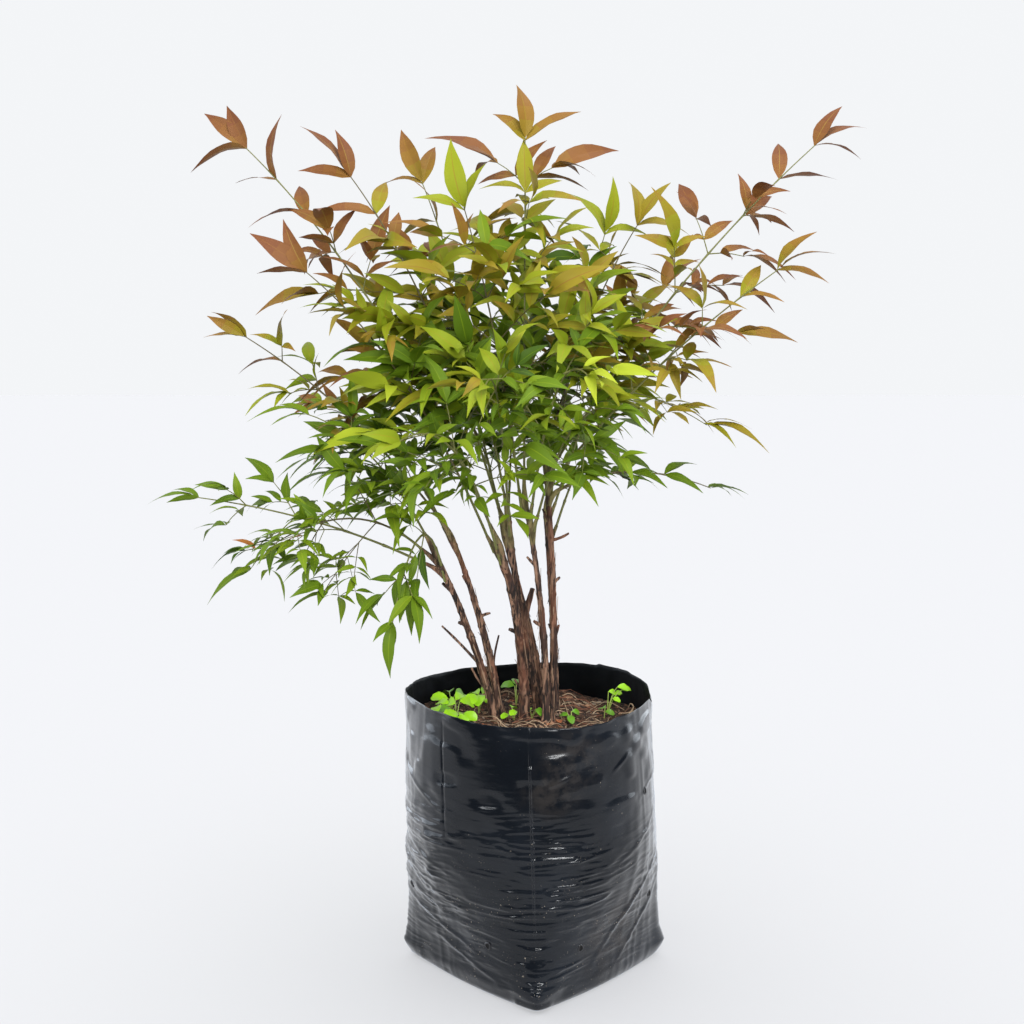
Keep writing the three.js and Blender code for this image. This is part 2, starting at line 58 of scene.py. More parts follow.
# A tube of film of one girth all the way up: square at its foot, round at its mouth.
BAG = {
    "height": 258,
    "girth": 707,
    "foot_share": 0.94,
    "squareness": 0.8,
    "square_up_to": 22,
    "round_from": 155,
    "bulge": 5,
    "mouth_shift": -7,
    "ear_reach": 5,
    "ear_height": 15,
    "ear_half_width": 13,
    "rim_wave": 3,
    "rim_turn": 40,
}
SOIL_TOP = 228

# Each cane: its foot, its tip, its radius at both, how far it bows along X, and the stubs of old side
# shoots, each as (share of the height, heading, rise, length, radius).
CANES = {
    "left_front": {
        "foot": (-37, 15), "tip": (-94, -20, 398), "radii": (4.1, 2.9), "bow": 6,
        "stubs": [
            (0.34, 176, 46, 48, 1.4),
            (0.19, 178, 56, 24, 1.3),
            (0.57, 180, 20, 4, 2.2),
            (0.75, 170, 42, 10, 1.9),
        ],
    },
    "left_back": {
        "foot": (-32, 27), "tip": (-80, 16, 408), "radii": (4, 2.8), "bow": 6,
        "stubs": [(0.25, 12, 82, 34, 1.2), (0.55, 0, 22, 7, 1.6), (0.71, 165, 58, 9, 2.1)],
    },
    "thick": {
        "foot": (-11, 20), "tip": (-35, -20, 405), "radii": (5.8, 3.9), "bow": 8,
        "stubs": [(0.5, 178, 25, 5, 2.1), (0.16, 186, 60, 12, 1.5)],
    },
    "middle": {
        "foot": (6, 34), "tip": (-26, 8, 428), "radii": (4.5, 3.1), "bow": -3,
        "stubs": [(0.46, -14, 76, 34, 3.2)],
    },
    "rear_centre": {
        "foot": (12, 46), "tip": (-30, 42, 402), "radii": (4, 3), "bow": 3,
        "stubs": [(0.6, 60, 30, 14, 1.6)],
    },
    "slender": {
        "foot": (10, -2), "tip": (-11, -12, 446), "radii": (4, 2.7), "bow": 6,
        "stubs": [(0.45, 190, 32, 6, 1.9), (0.7, 205, 48, 10, 1.5)],
    },
    "right": {
        "foot": (15, 9), "tip": (8, 10, 478), "radii": (3.9, 2.8), "bow": 5,
        "stubs": [
            (0.7, 2, 22, 14, 1.5),
            (0.54, 8, 42, 5, 1.6),
            (0.31, 0, 76, 16, 1.7),
            (0.76, 182, 64, 12, 1.3),
        ],
    },
    "rear": {
        "foot": (20, 31), "tip": (10, 62, 424), "radii": (3.8, 2.8), "bow": 2,
        "stubs": [(0.4, 110, 35, 11, 1.5)],
    },
}
CANE_FLARE = {"share": 0.28, "height": 12, "buried": 6}

# Each cane's compound leaves: the heading, rise and reach of the furthest leaflet tip from the cane's tip,
# how high the stalk arches, how far the last pair is turned about it, how far its side stalks droop, the
# size of its leaflets, and how far its side stalks spread.
LEAF_FIELDS = ("heading", "rise", "reach", "arch", "turn", "droop", "size", "spread")
LEAVES = {
    "left_front": {
        "left_middle": (192, 41, 205, 0.12, 60, 0.15, 0.85, 1),
        "left_low": (202, -3, 180, 0.17, 30, 0.3, 0.72, 1.3),
        "far_left_low": (180, 11, 258, 0.04, 50, 0.1, 0.74, 1),
        "hanging_left": (246, -46, 140, 0.42, 10, 0.4, 0.86, 0.72),
    },
    "left_back": {
        "far_left_middle": (184, 42, 303, 0.06, 70, 0.12, 0.88, 0.78),
        "rear_left_low": (138, 25, 252, 0.14, 20, 0.2, 0.85, 1),
    },
    "thick": {
        "far_left_high": (171, 55, 472, 0.08, 75, 0.1, 1.05, 0.5),
        "left_high": (191, 52, 345, 0.09, 60, 0.12, 1.05, 0.55),
        "front_left": (240, 22, 222, 0.22, 15, 0.25, 0.95, 1.1),
    },
    "middle": {
        "crown_left": (143, 70, 374, 0.08, 60, 0.12, 1.1, 0.78),
        "upper_left": (188, 63, 385, 0.09, 80, 0.12, 1.05, 0.68),
        "front_middle": (264, 24, 246, 0.24, 0, 0.25, 0.95, 1.05),
    },
    "rear_centre": {
        "rear_left_high": (126, 58, 345, 0.1, 40, 0.12, 1, 0.72),
        "rear_middle": (84, 47, 290, 0.13, 10, 0.18, 1, 1),
        "rear_low": (110, 24, 235, 0.18, 30, 0.25, 0.9, 1),
    },
    "slender": {
        "crown_top": (88, 86, 376, 0.02, 0, 0.08, 1.15, 0.9),
        "crown_middle": (205, 76, 315, 0.07, 50, 0.12, 1.1, 1),
        "front_right": (288, 24, 226, 0.24, 0, 0.25, 0.95, 0.95),
        "right_front": (308, 22, 182, 0.22, 30, 0.3, 0.9, 0.75),
    },
    "right": {
        "right_high": (20, 64, 284, 0.08, 60, 0.12, 1.05, 0.8),
        "far_right_high": (1, 48, 420, 0.05, 80, 0.1, 0.95, 0.6),
        "far_right_middle": (346, 38, 318, 0.04, 60, 0.15, 0.95, 0.7),
        "right_low": (6, -14, 200, 0.09, 70, 0.15, 0.75, 0.5),
    },
    "rear": {
        "upper_right": (350, 77, 318, 0.06, 80, 0.12, 1.05, 0.85),
        "rear_right_high": (34, 52, 305, 0.1, 50, 0.12, 1, 0.8),
        "rear_right": (76, 36, 245, 0.16, 10, 0.22, 0.9, 0.9),
        "rear_right_low": (42, 26, 190, 0.18, 40, 0.22, 0.9, 0.75),
    },
}
STALK = {
    "frame_radius": 1.8,
    "radii": (1.35, 0.5),
    "drop_per_leaf": 11,
    "bend_at": 0.45,
    "passes": 4,
    "bough_share": 0.24,
    "first_joint": 0.21,
    "joint_spacing": 43,
    "roll_per_joint": 75,
}
SIDE_STALK = {
    "radii": (0.62, 0.36),
    "sides": 5,
    "arch": 0.05,
    "shortest": 0.8,
    "splay": 54,
    "length_share": 0.5,
    "first_joint": 0.33,
    "joint_spacing": 20,
    "roll": 60,
}
TWIG = {
    "radii": (0.44, 0.3),
    "sides": 4,
    "points": 5,
    "arch": 0.04,
    "shortest": 0.84,
    "leaflet_share": 0.42,
    "first_joint": 0.46,
    "joint_spacing": 12.5,
    "tint_spread": 1.6,
}
POINT_SPACING = 9
KNOT = {"height": 0.4, "width": 0.012}
LEAFLET = {
    "frame_length": 62,
    "length": 53,
    "front_share": 0.76,
    "front": (-150, -30),
    "breadth": 0.285,
    "outline": (0.82, 1.28),
    "tip_fall": 0.1,
    "curl": 0.2,
    "clear": 2.6,
    "tries": 5,
    "reach_out": 0.3,
    "towards_level": 0.7,
    "pair_splay": 44,
    "pair_at": 0.965,
}
# The length of a leaflet by its place, as a share of the longest.
LEAFLET_SHARE = {
    "end": 1,
    "under_end": 0.88,
    "on_leaf": 0.92,
    "single": 0.72,
    "twig_end": 0.82,
    "twig_pair": 0.58,
}
# The pair under a leaf's end leaflet faces the front where its stalk climbs steeply.
END_PAIR = {"under_end": 3, "steep": (0.3, 0.7), "rest": 60}
HANGING_BELOW = -30  # the rise under which a leaf's own leaflets hang down
VARIATION = {"splay": 9, "rise": 0.14, "length": 0.18, "tilt": 0.65, "roll": 25}
FACING = {"up": 1, "outward": 0.2, "front": 0.12, "front_when_steep": 0.9}
LEVELLED = {"fall": 0.3, "climb": 0.88, "lift": 0.1}
CROWN_AXIS = (-25, 5)
KEYS_PER_AXIS = 8
# The draw of wobble that decides each thing.
DRAW = {
    "splay": 1,
    "rise": 2,
    "reach": 3,
    "turn": 4,
    "length": 5,
    "tilt": 6,
    "roll": 20,
    "warmth": 50,
    "own_tint": 51,
    "lime": 52,
    "dead": 53,
    "green_foot": 60,
    "bronze_rib": 61,
    "twist": 62,
    "breadth": 63,
    "fold": 64,
    "wave": 65,
    "curl": 66,
    "scar": 3,
    "crook": 30,
    "rough": 40,
}
FOLIAGE_FROM = {"low": 0, "middle": 500, "high": 600}

# ---------------------------------------------------------------- small helpers


def mix(first, second, share):
    return first + (second - first) * share


def smooth_step(value, low, high):
    share = np.clip((np.asarray(value, float) - low) / (high - low), 0, 1)
    return share * share * share * (share * (share * 6 - 15) + 10)


def unit(vector):
    return vector / (np.linalg.norm(vector) + 1e-12)


def turned(vector, axis, degrees):
    """The vector, turned about a unit axis."""
    angle = math.radians(degrees)
    along = axis * np.dot(axis, vector) * (1 - math.cos(angle))
    return vector * math.cos(angle) + np.cross(axis, vector) * math.sin(angle) + along


def bearing(heading, rise):
    """The direction of a heading, counted from +X towards +Y, and a rise above level."""
    level = math.cos(math.radians(rise))
    return np.array([
        level * math.cos(math.radians(heading)),
        level * math.sin(math.radians(heading)),
        math.sin(math.radians(rise)),
    ])


def across_from(direction, forward):
    """The part of a direction that is square to forward."""
    return unit(direction - forward * np.dot(direction, forward))


def level_place(angle, reach):
    """The x and y at a heading and a reach."""
    return reach * np.cos(np.radians(angle)), reach * np.sin(np.radians(angle))


def circle(turns, east, north):
    """A unit circle's points, in the plane of two directions."""
    return np.outer(np.cos(turns), east) + np.outer(np.sin(turns), north)


def full_turn(sides):
    return np.linspace(0, 2 * math.pi, sides, endpoint=False)


def wobble(key, draw):
    """A repeatable number from -1 to 1 for a key and a draw."""
    wave = math.sin(key * 12.9898 + draw * 78.233) * 43758.5453
    return 2 * (wave - math.floor(wave)) - 1


def lattice(x, y, z, seed):
    """A repeatable number from -1 to 1 for each whole point of space."""
    wave = np.sin(x * 127.1 + y * 311.7 + z * 74.7 + seed * 19.19) * 43758.5453
    return 2 * (wave - np.floor(wave)) - 1


def lumps(x, y, z, seed):
    """Smooth noise from -1 to 1 with lumps about one unit wide."""
    x, y, z = np.broadcast_arrays(x, y, z)
    cell = [np.floor(axis) for axis in (x, y, z)]
    share = [axis - low for axis, low in zip((x, y, z), cell)]
    share = [part * part * (3 - 2 * part) for part in share]
    total = 0
    for corner in itertools.product((0, 1), repeat=3):
        near_x, near_y, near_z = (np.abs(1 - step - part) for step, part in zip(corner, share))
        whole = [low + step for low, step in zip(cell, corner)]
        total = total + near_x * near_y * near_z * lattice(*whole, seed)
    return total


def ridges(x, y, z, seed, sharpness):
    """Noise from 0 to 1 that stands up in thin ridges."""
    return (1 - np.abs(lumps(x, y, z, seed))) ** sharpness


class Curve:
    """A quadratic curve that is measured along its own length."""

    STEPS = 200

    def __init__(self, start, bend, end):
        self.points = [np.asarray(point, float) for point in (start, bend, end)]
        self.turns = np.linspace(0, 1, self.STEPS + 1)
        places = np.array([self.place(turn) for turn in self.turns])
        lengths = np.linalg.norm(np.diff(places, axis=0), axis=1)
        self.run = np.concatenate([[0], np.cumsum(lengths)])
        self.length = self.run[-1]

    def place(self, turn):
        start, bend, end = self.points
        return start * (1 - turn) ** 2 + bend * 2 * turn * (1 - turn) + end * turn**2

    def turn_at(self, share):
        return np.interp(share * self.length, self.run, self.turns)

    def at(self, share):
        return self.place(self.turn_at(share))

    def tangent(self, share):
        turn = self.turn_at(share)
        start, bend, end = self.points
        return unit((bend - start) * (1 - turn) + (end - bend) * turn)


class Piece:
    """The vertices, faces and tints of one mesh, gathered bit by bit."""

    def __init__(self):
        self.vertices = []
        self.faces = []
        self.tints = []
        self.count = 0

    def add(self, vertices, faces, tints=0):
        self.vertices.append(np.asarray(vertices, float))
        self.faces.extend((np.asarray(faces) + self.count).tolist())
        self.tints.append(np.broadcast_to(tints, len(faces)))
        self.count += len(vertices)

    def build(self, name, materials, slot, nodes=()):
        mesh = bpy.data.meshes.new(name)
        mesh.from_pydata((np.concatenate(self.vertices) * METRES).tolist(), [], self.faces)
        for material in materials:
            mesh.materials.append(material)
        mesh.polygons.foreach_set("material_index", np.concatenate(self.tints).astype(np.int32))
        mesh.shade_smooth()
        piece = bpy.data.objects.new(name, mesh)
        bpy.context.scene.collection.objects.link(piece)
        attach(piece, "root")
        if nodes:
            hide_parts(*nodes)
        return piece


def grid_faces(rows, columns, closed):
    """The faces between rows of columns of vertices. A closed grid's last column meets its first."""
    spans = columns if closed else columns - 1
    row, column = np.meshgrid(np.arange(rows - 1), np.arange(spans), indexing="ij")
    following = (column + 1) % columns
    corners = [
        row * columns + column,
        row * columns + following,
        (row + 1) * columns + following,
        (row + 1) * columns + column,
    ]
    return np.stack(corners, axis=-1).reshape(-1, 4)


def tube(piece, centres, radii, sides, tint=0):
    """Adds a round limb through the centres, open at both ends."""
    centres = np.asarray(centres, float)
    runs = np.gradient(centres, axis=0)
    upright = abs(unit(runs[0])[2]) > UPRIGHT
    side = unit(np.cross(runs[0], RIGHT if upright else UP))
    rings = []
    for centre, run, radius in zip(centres, runs, radii):
        forward = unit(run)
        side = across_from(side, forward)
        rings.append(centre + circle(full_turn(sides), side, np.cross(forward, side)) * radius)
    piece.add(np.concatenate(rings), grid_faces(len(centres), sides, True), tint)


# ---------------------------------------------------------------- materials


def node_group(name, inputs, outputs):
    """An empty shader group with the named inputs, as (name, kind, value), and outputs, as (name, kind)."""
    group = bpy.data.node_groups.new(name, "ShaderNodeTree")
    for label, kind, value in inputs:
        socket = group.interface.new_socket(label, in_out="INPUT", socket_type=kind)
        socket.default_value = value
    for label, kind in outputs:
        group.interface.new_socket(label, in_out="OUTPUT", socket_type=kind)
    return group, group.nodes.new("NodeGroupInput"), group.nodes.new("NodeGroupOutput")


def feed(tree, values):
    """Links or sets each socket, by whether its value is another socket or a plain value."""
    for socket, value in values:
        if isinstance(value, bpy.types.NodeSocket):
            tree.links.new(value, socket)
        else:
            socket.default_value = value


def noise_node(tree, vector, scale, detail, roughness=0.55):
    node = tree.nodes.new("ShaderNodeTexNoise")
    named = {"Vector": vector, "Scale": scale, "Detail": detail, "Roughness": roughness}
    feed(tree, [(node.inputs[label], value) for label, value in named.items()])
    return node.outputs["Fac"]


def between(tree, value, low, high):
    """A mask that rises from 0 at low to 1 at high."""
    node = tree.nodes.new("ShaderNodeMapRange")
    node.interpolation_type = "SMOOTHSTEP"
    named = {"Value": value, "From Min": low, "From Max": high}
    feed(tree, [(node.inputs[label], value) for label, value in named.items()])
    return node.outputs["Result"]


def math_node(tree, operation, first, second):
    node = tree.nodes.new("ShaderNodeMath")
    node.operation = operation
    feed(tree, zip(node.inputs, (first, second)))
    return node.outputs["Value"]


def vector_node(tree, operation, first, second=(0, 0, 0)):
    node = tree.nodes.new("ShaderNodeVectorMath")
    node.operation = operation
    feed(tree, zip(node.inputs, (first, second)))
    return node.outputs["Value" if operation == "LENGTH" else "Vector"]


def axis_node(tree, vector, axis):
    node = tree.nodes.new("ShaderNodeSeparateXYZ")
    tree.links.new(vector, node.inputs["Vector"])
    return node.outputs[axis]


def object_place(tree):
    """A point's own place on the object, in metres."""
    return tree.nodes.new("ShaderNodeTexCoord").outputs["Object"]


def blend_node(tree, mask, first, second):
    """A colour that goes from the first to the second as the mask goes from 0 to 1."""
    node = tree.nodes.new("ShaderNodeMix")
    node.data_type = "RGBA"
    first, second = ((*color, 1) if isinstance(color, tuple) else color for color in (first, second))
    feed(tree, [(node.inputs["Factor"], mask), (node.inputs["A"], first), (node.inputs["B"], second)])
    return node.outputs["Result"]


def grain_group():
    """Fine grain, drawn out along an axis by its stretch: its mask from 0 to 1, and its normal."""
    group, start, end = node_group(
        "stretched_grain",
        [
            ("Stretch", "NodeSocketVector", (1, 1, 1)),
            ("Scale", "NodeSocketFloat", 100),
            ("Detail", "NodeSocketFloat", 3),
            ("Depth", "NodeSocketFloat", 0.0003),
            ("Strength", "NodeSocketFloat", 0.5),
        ],
        [("Grain", "NodeSocketFloat"), ("Normal", "NodeSocketVector")],
    )
    stretched = vector_node(group, "MULTIPLY", object_place(group), start.outputs["Stretch"])
    grain = noise_node(group, stretched, start.outputs["Scale"], start.outputs["Detail"], 0.5)
    bump = group.nodes.new("ShaderNodeBump")
    group.links.new(grain, bump.inputs["Height"])
    group.links.new(start.outputs["Depth"], bump.inputs["Distance"])
    group.links.new(start.outputs["Strength"], bump.inputs["Strength"])
    group.links.new(grain, end.inputs["Grain"])
    group.links.new(bump.outputs["Normal"], end.inputs["Normal"])
    return group


def dust_group():
    """A mask from 0 to 1 of settled dust: soft patches, and specks in them."""
    group, start, end = node_group(
        "settled_dust",
        [
            ("Patch Scale", "NodeSocketFloat", 12),
            ("Speck Scale", "NodeSocketFloat", 420),
            ("Cover", "NodeSocketFloat", 0.5),
        ],
        [("Haze", "NodeSocketFloat"), ("Specks", "NodeSocketFloat")],
    )
    place = object_place(group)
    patches = noise_node(group, place, start.outputs["Patch Scale"], 4)
    haze = between(group, patches, 0.42, 0.72)
    group.links.new(math_node(group, "MULTIPLY", haze, start.outputs["Cover"]), end.inputs["Haze"])
    specks = between(group, noise_node(group, place, start.outputs["Speck Scale"], 2), 0.72, 0.78)
    thick = between(group, patches, 0.44, 0.62)
    group.links.new(math_node(group, "MULTIPLY", specks, thick), end.inputs["Specks"])
    return group


GRAIN = grain_group()
DUST = dust_group()


def place_group(tree, group, **values):
    """Places a group in a material with its own values, and returns its outputs."""
    node = tree.nodes.new("ShaderNodeGroup")
    node.node_tree = group
    for label, value in values.items():
        node.inputs[label.replace("_", " ")].default_value = value
    return node.outputs


def surface(name, roughness, grain=None, color=None, **uniform):
    """A Principled material, its shader, and the mask of its grain.

    grain holds the stretched grain's values, whose normal gives the relief. A colour that is left out is laid
    up from masks by the caller.
    """
    material = bpy.data.materials.new(name)
    material.use_nodes = True
    tree = material.node_tree
    shader = tree.nodes["Principled BSDF"]
    if color:
        shader.inputs["Base Color"].default_value = (*color, 1)
        material.diffuse_color = (*color, 1)
    shader.inputs["Roughness"].default_value = roughness
    for label, value in uniform.items():
        shader.inputs[label.replace("_", " ")].default_value = value
    if not grain:
        return material, shader, None
    relief = place_group(tree, GRAIN, **grain)
    tree.links.new(relief["Normal"], shader.inputs["Normal"])
    return material, shader, relief["Grain"]


def tinted(tints, roughness, grain=None, **uniform):
    """A material of the same finish for each named tint."""
    return [surface(name, roughness, grain, color, **uniform)[0] for name, color in tints.items()]


LEAF_GRAIN = {"Stretch": (1, 1, 0.7), "Scale": 85, "Detail": 1, "Depth": 0.0004, "Strength": 0.3}

# From the deep shade of the crown to its sunlit tips: the darker greens are partly the leaves' own colour and
# partly painted shade.
LEAF_STOPS = {
    "deep_green": (0.05, 0.1, 0.007),
    "dark_green": (0.11, 0.185, 0.009),
    "leaf_green": (0.185, 0.265, 0.012),
    "fresh_green": (0.25, 0.285, 0.014),
    "olive": (0.265, 0.205, 0.018),
    "olive_bronze": (0.26, 0.14, 0.024),
    "bronze": (0.23, 0.1, 0.03),
    "copper": (0.19, 0.072, 0.03),
}
OTHER_LEAF_TINTS = {
    "lime": (0.35, 0.42, 0.025),
    "rib_green": (0.21, 0.28, 0.03),
    "rib_bronze": (0.29, 0.175, 0.04),
    "dead_leaf": (0.34, 0.13, 0.03),
}


def all_leaf_tints():
    """Every tint of a leaflet: the stops with a tint halfway to the next, then the others."""
    names = list(LEAF_STOPS)
    tints = {names[0]: LEAF_STOPS[names[0]]}
    for name, following in zip(names, names[1:]):
        halfway = mix(np.array(LEAF_STOPS[name]), np.array(LEAF_STOPS[following]), 0.5)
        tints[name + "_warmer"] = tuple(halfway.tolist())
        tints[following] = LEAF_STOPS[following]
    return tints | OTHER_LEAF_TINTS


LEAF_TINTS = all_leaf_tints()
TINT = {name: number for number, name in enumerate(LEAF_TINTS)}
SHADES = TINT["lime"]  # the tints before it go from one to the next
LIME = {"from": 430, "to": 580, "above_wobble": 0.86}
DEAD = {"below": 480, "above_wobble": 0.975}

# What makes a spray warmer, in stops: each step up, each step out in the open air above the low sprays, each
# step up at the top of the crown, a long way to the end of its leaf, and chance.
WARMTH = {
    "height_from": 598,
    "height_step": 48,
    "out_from": 75,
    "out_step": 26,
    "out_most": 7.5,
    "open_air": (475, 535),
    "front_share": 0.8,
    "top_from": 640,
    "top_step": 45,
    "rest_step": 320,
    "chance": 2.3,
    "coolest": 2,
}

STALK_GRAIN = {"Stretch": (1, 1, 0.2), "Scale": 500, "Detail": 2, "Depth": 0.0001, "Strength": 0.3}
STALK_TINTS = {"stalk_green": (0.16, 0.165, 0.04), "stalk_olive": (0.105, 0.088, 0.03)}


# ---------------------------------------------------------------- canes


def cane_curve(cane):
    """The source's bowed line of a cane, from its buried foot."""
    foot = np.array([*cane["foot"], SOIL_TOP + CLEARANCE - CANE_FLARE["buried"]], float)
    tip = np.array(cane["tip"], float)
    return Curve(foot, mix(foot, tip, 0.5) + np.array([2 * cane["bow"], 0, 0]), tip)


def cane_radius(cane, curve, share):
    """The source's radius of a cane, which flares at the foot."""
    above = np.asarray(share) * curve.length - CANE_FLARE["buried"]
    return mix(*cane["radii"], share) * (1 + CANE_FLARE["share"] * np.exp(-above / CANE_FLARE["height"]))


BARK = {
    "sides": 44,
    "ring_spacing": 1.25,
    "core": 0.86,
    "under_core": 0.2,
    "depth": 1.1,
    "smooth_depth": 0.22,
    "smooth_over": (0.45, 0.92),
    "end_radius": 0.35,
}
# The bark's plates, strips and crumbs: their width, length and height, and how sharply they stand up.
BARK_PLATES = (2.1, 26, 1.25, 1.6)
BARK_STRIPS = (1.0, 15, 0.55, 2)
BARK_CRUMBS = (0.9, 2.2, 0.22)
SCAR = {"spacing": 27, "shift": 9, "width": 1.6, "height": 0.55}
FOOT_LOBES = {"count": 3, "height": 0.7, "fade": 14}
YOUNG_CANE_LEFT_OF = -60  # a cane whose tip leans further left is young and turns olive low down


def bark_relief(angle, height, radius, seed):
    """How far the bark stands out, from -1 in its fissures to 1 on its plates."""
    x = np.cos(angle) * radius
    y = np.sin(angle) * radius
    relief = -1
    for number, (width, length, rise, sharpness) in enumerate((BARK_PLATES, BARK_STRIPS)):
        relief = relief + rise * ridges(x / width, y / width, height / length, seed + 3 * number, sharpness)
    width, length, rise = BARK_CRUMBS
    return relief + rise * lumps(x / width, y / width, height / length, seed + 7)


def cane_bark(name, cane, seed):
    """The fissured bark of one cane, smoother towards its green tip, with the scars of shed sheaths."""
    curve = cane["curve"]
    piece = Piece()
    rows = int(curve.length / BARK["ring_spacing"])
    first = CANE_FLARE["buried"] * 0.4 / curve.length
    shares = np.linspace(first, 1, rows)
    angles = full_turn(BARK["sides"])
    side = unit(np.cross(curve.tangent(0.5), REAR))
    rings = []
    for share in shares:
        forward = curve.tangent(share)
        side = across_from(side, forward)
        run = share * curve.length
        radius = cane_radius(cane, curve, share)
        rough = mix(1, BARK["smooth_depth"], smooth_step(share, *BARK["smooth_over"]))
        relief = bark_relief(angles, run, radius, seed) * BARK["depth"] * rough
        from_scar = ((run + SCAR["shift"] * wobble(seed, DRAW["scar"])) / SCAR["spacing"]) % 1 - 0.5
        relief = relief + SCAR["height"] * math.exp(-((from_scar * SCAR["spacing"] / SCAR["width"]) ** 2))
        lobes = FOOT_LOBES["height"] * math.exp(-run / FOOT_LOBES["fade"])
        relief = relief + lobes * np.cos(FOOT_LOBES["count"] * angles + seed)
        reach = radius * BARK["core"] - BARK["under_core"] + relief
        if share == shares[-1]:
            reach = np.full_like(reach, BARK["end_radius"])
        rings.append(curve.at(share) + circle(angles, side, np.cross(forward, side)) * reach[:, None])
    piece.add(np.concatenate(rings), grid_faces(rows, BARK["sides"], True))
    for number, stub in enumerate(cane["stubs"]):
        add_stub(piece, cane, *stub, seed + number)
    surface_of_cane = BARKS["young" if cane["tip"][0] < YOUNG_CANE_LEFT_OF else "old"]
    return piece.build("bark_" + name, [surface_of_cane], "bark", ["cane_" + name])


STUB = {
    "steps": 9,
    "sides": 9,
    "crook": 0.05,
    "taper": (1.1, 0.68),
    "knot": {"at": 0.72, "width": 0.07, "height": 0.22},
    "rough": 0.07,
    "end": 0.3,
}


def add_stub(piece, cane, share, heading, rise, length, radius, seed):
    """A dead side shoot, a little crooked, with a snapped end."""
    start = cane["curve"].at(share)
    direction = bearing(heading, rise)
    total = length + cane["radii"][0]
    crook = np.array([wobble(seed, DRAW["crook"] + axis) for axis in range(3)]) * STUB["crook"] * total
    knot = STUB["knot"]
    centres = []
    radii = []
    for step in range(STUB["steps"] + 1):
        out = step / STUB["steps"]
        centres.append(start + direction * total * out + crook * math.sin(math.pi * out))
        swelling = knot["height"] * math.exp(-(((out - knot["at"]) / knot["width"]) ** 2))
        rough = STUB["rough"] * wobble(seed, DRAW["rough"] + step)
        radii.append(radius * mix(*STUB["taper"], out) * (1 + swelling + rough))
    centres.append(centres[-1] + direction * STUB["end"])
    radii.append(radius * STUB["end"])
    tube(piece, centres, radii, STUB["sides"])


BARK_GRAIN = {"Stretch": (1, 1, 0.14), "Scale": 430, "Detail": 3, "Depth": 0.001, "Strength": 0.8}
# Each pair is the colour between the streaks and the colour on them.
BARK_COLORS = {
    "fissure": (0.016, 0.009, 0.007),
    "plates": ((0.055, 0.027, 0.019), (0.3, 0.17, 0.11)),
    "rust": (0.26, 0.095, 0.05),
    "young": ((0.1, 0.085, 0.03), (0.26, 0.22, 0.085)),
}
YOUNG_EDGE = {"waves": 0.07, "depth": 0.06}  # the wavy height over which old bark turns young, in metres


def bark_material(name, young_from):
    """Fissured bark, which turns to the smooth olive of a young cane from a height, in metres."""
    material, shader, grain = surface(name, 0.82, BARK_GRAIN)
    tree = material.node_tree
    place = object_place(tree)
    broad = place_group(tree, GRAIN, Stretch=(1, 1, 0.22), Scale=190, Detail=3)
    streak = between(tree, broad["Grain"], 0.42, 0.6)
    plates = blend_node(tree, streak, *BARK_COLORS["plates"])
    brown = blend_node(tree, between(tree, grain, 0.43, 0.53), BARK_COLORS["fissure"], plates)
    warm = between(tree, noise_node(tree, place, 26, 3), 0.5, 0.62)
    rusty = blend_node(tree, math_node(tree, "MULTIPLY", warm, 0.45), brown, BARK_COLORS["rust"])
    wavy = math_node(tree, "MULTIPLY", noise_node(tree, place, 60, 3), YOUNG_EDGE["waves"])
    risen = math_node(tree, "ADD", axis_node(tree, place, "Z"), wavy)
    green = between(tree, risen, young_from, young_from + YOUNG_EDGE["depth"])
    young = blend_node(tree, streak, *BARK_COLORS["young"])
    tree.links.new(blend_node(tree, green, rusty, young), shader.inputs["Base Color"])
    return material


STRIPS = {
    "per_cane": 38,
    "at": (0.06, 0.62),
    "length": (6, 34),
    "width": (0.7, 1.8),
    "swing": (-0.25, 0.25),
    "lift": 2.9,
    "downward": 0.6,
    "steps": 8,
    "ends": (0.03, 0.99),
}
STRIP_GRAIN = {"Stretch": (1, 1, 0.15), "Scale": 900, "Detail": 3, "Depth": 0.0004, "Strength": 0.7}
STRIP_TINTS = {
    "strip_brown": (0.16, 0.082, 0.05),
    "strip_dark": (0.07, 0.036, 0.024),
    "strip_tan": (0.33, 0.21, 0.135),
}


def bark_strips():
    """Loose strips of bark, each held at one end and curling away from its cane at the other."""
    piece = Piece()
    for cane in CANES.values():
        for _ in range(STRIPS["per_cane"]):
            add_strip(piece, cane)
    piece.build("bark_strips", tinted(STRIP_TINTS, 0.8, STRIP_GRAIN), "bark")


def add_strip(piece, cane):
    """A narrow strip, crowned along its middle. Its free end points down more often than up."""
    curve = cane["curve"]
    length = chance.uniform(*STRIPS["length"])
    share = chance.uniform(*STRIPS["at"])
    width = chance.uniform(*STRIPS["width"])
    angle = chance.uniform(0, 2 * math.pi)
    swing = chance.uniform(*STRIPS["swing"])
    lift = STRIPS["lift"] * chance.uniform(0.1, 1) ** 2
    way = -1 if chance.random() < STRIPS["downward"] else 1
    rows = []
    for step in np.linspace(0, 1, STRIPS["steps"]):
        at = float(np.clip(share + way * step * length / curve.length, *STRIPS["ends"]))
        forward = curve.tangent(at)
        east = unit(np.cross(forward, REAR))
        turn = angle + swing * step
        out = east * math.cos(turn) + np.cross(forward, east) * math.sin(turn)
        across = np.cross(forward, out)
        reach = cane_radius(cane, curve, at) * BARK["core"] + 0.2 + lift * step**2
        half = width * (0.3 + 0.7 * math.sin(math.pi * min(step + 0.25, 1))) / 2
        middle = curve.at(at) + out * (reach + 0.15)
        edge = curve.at(at) + out * (reach - 0.25)
        rows += [edge - across * half, middle, edge + across * half]
    piece.add(rows, grid_faces(STRIPS["steps"], 3, False), int(chance.integers(0, len(STRIP_TINTS))))


# ---------------------------------------------------------------- leaf stalks


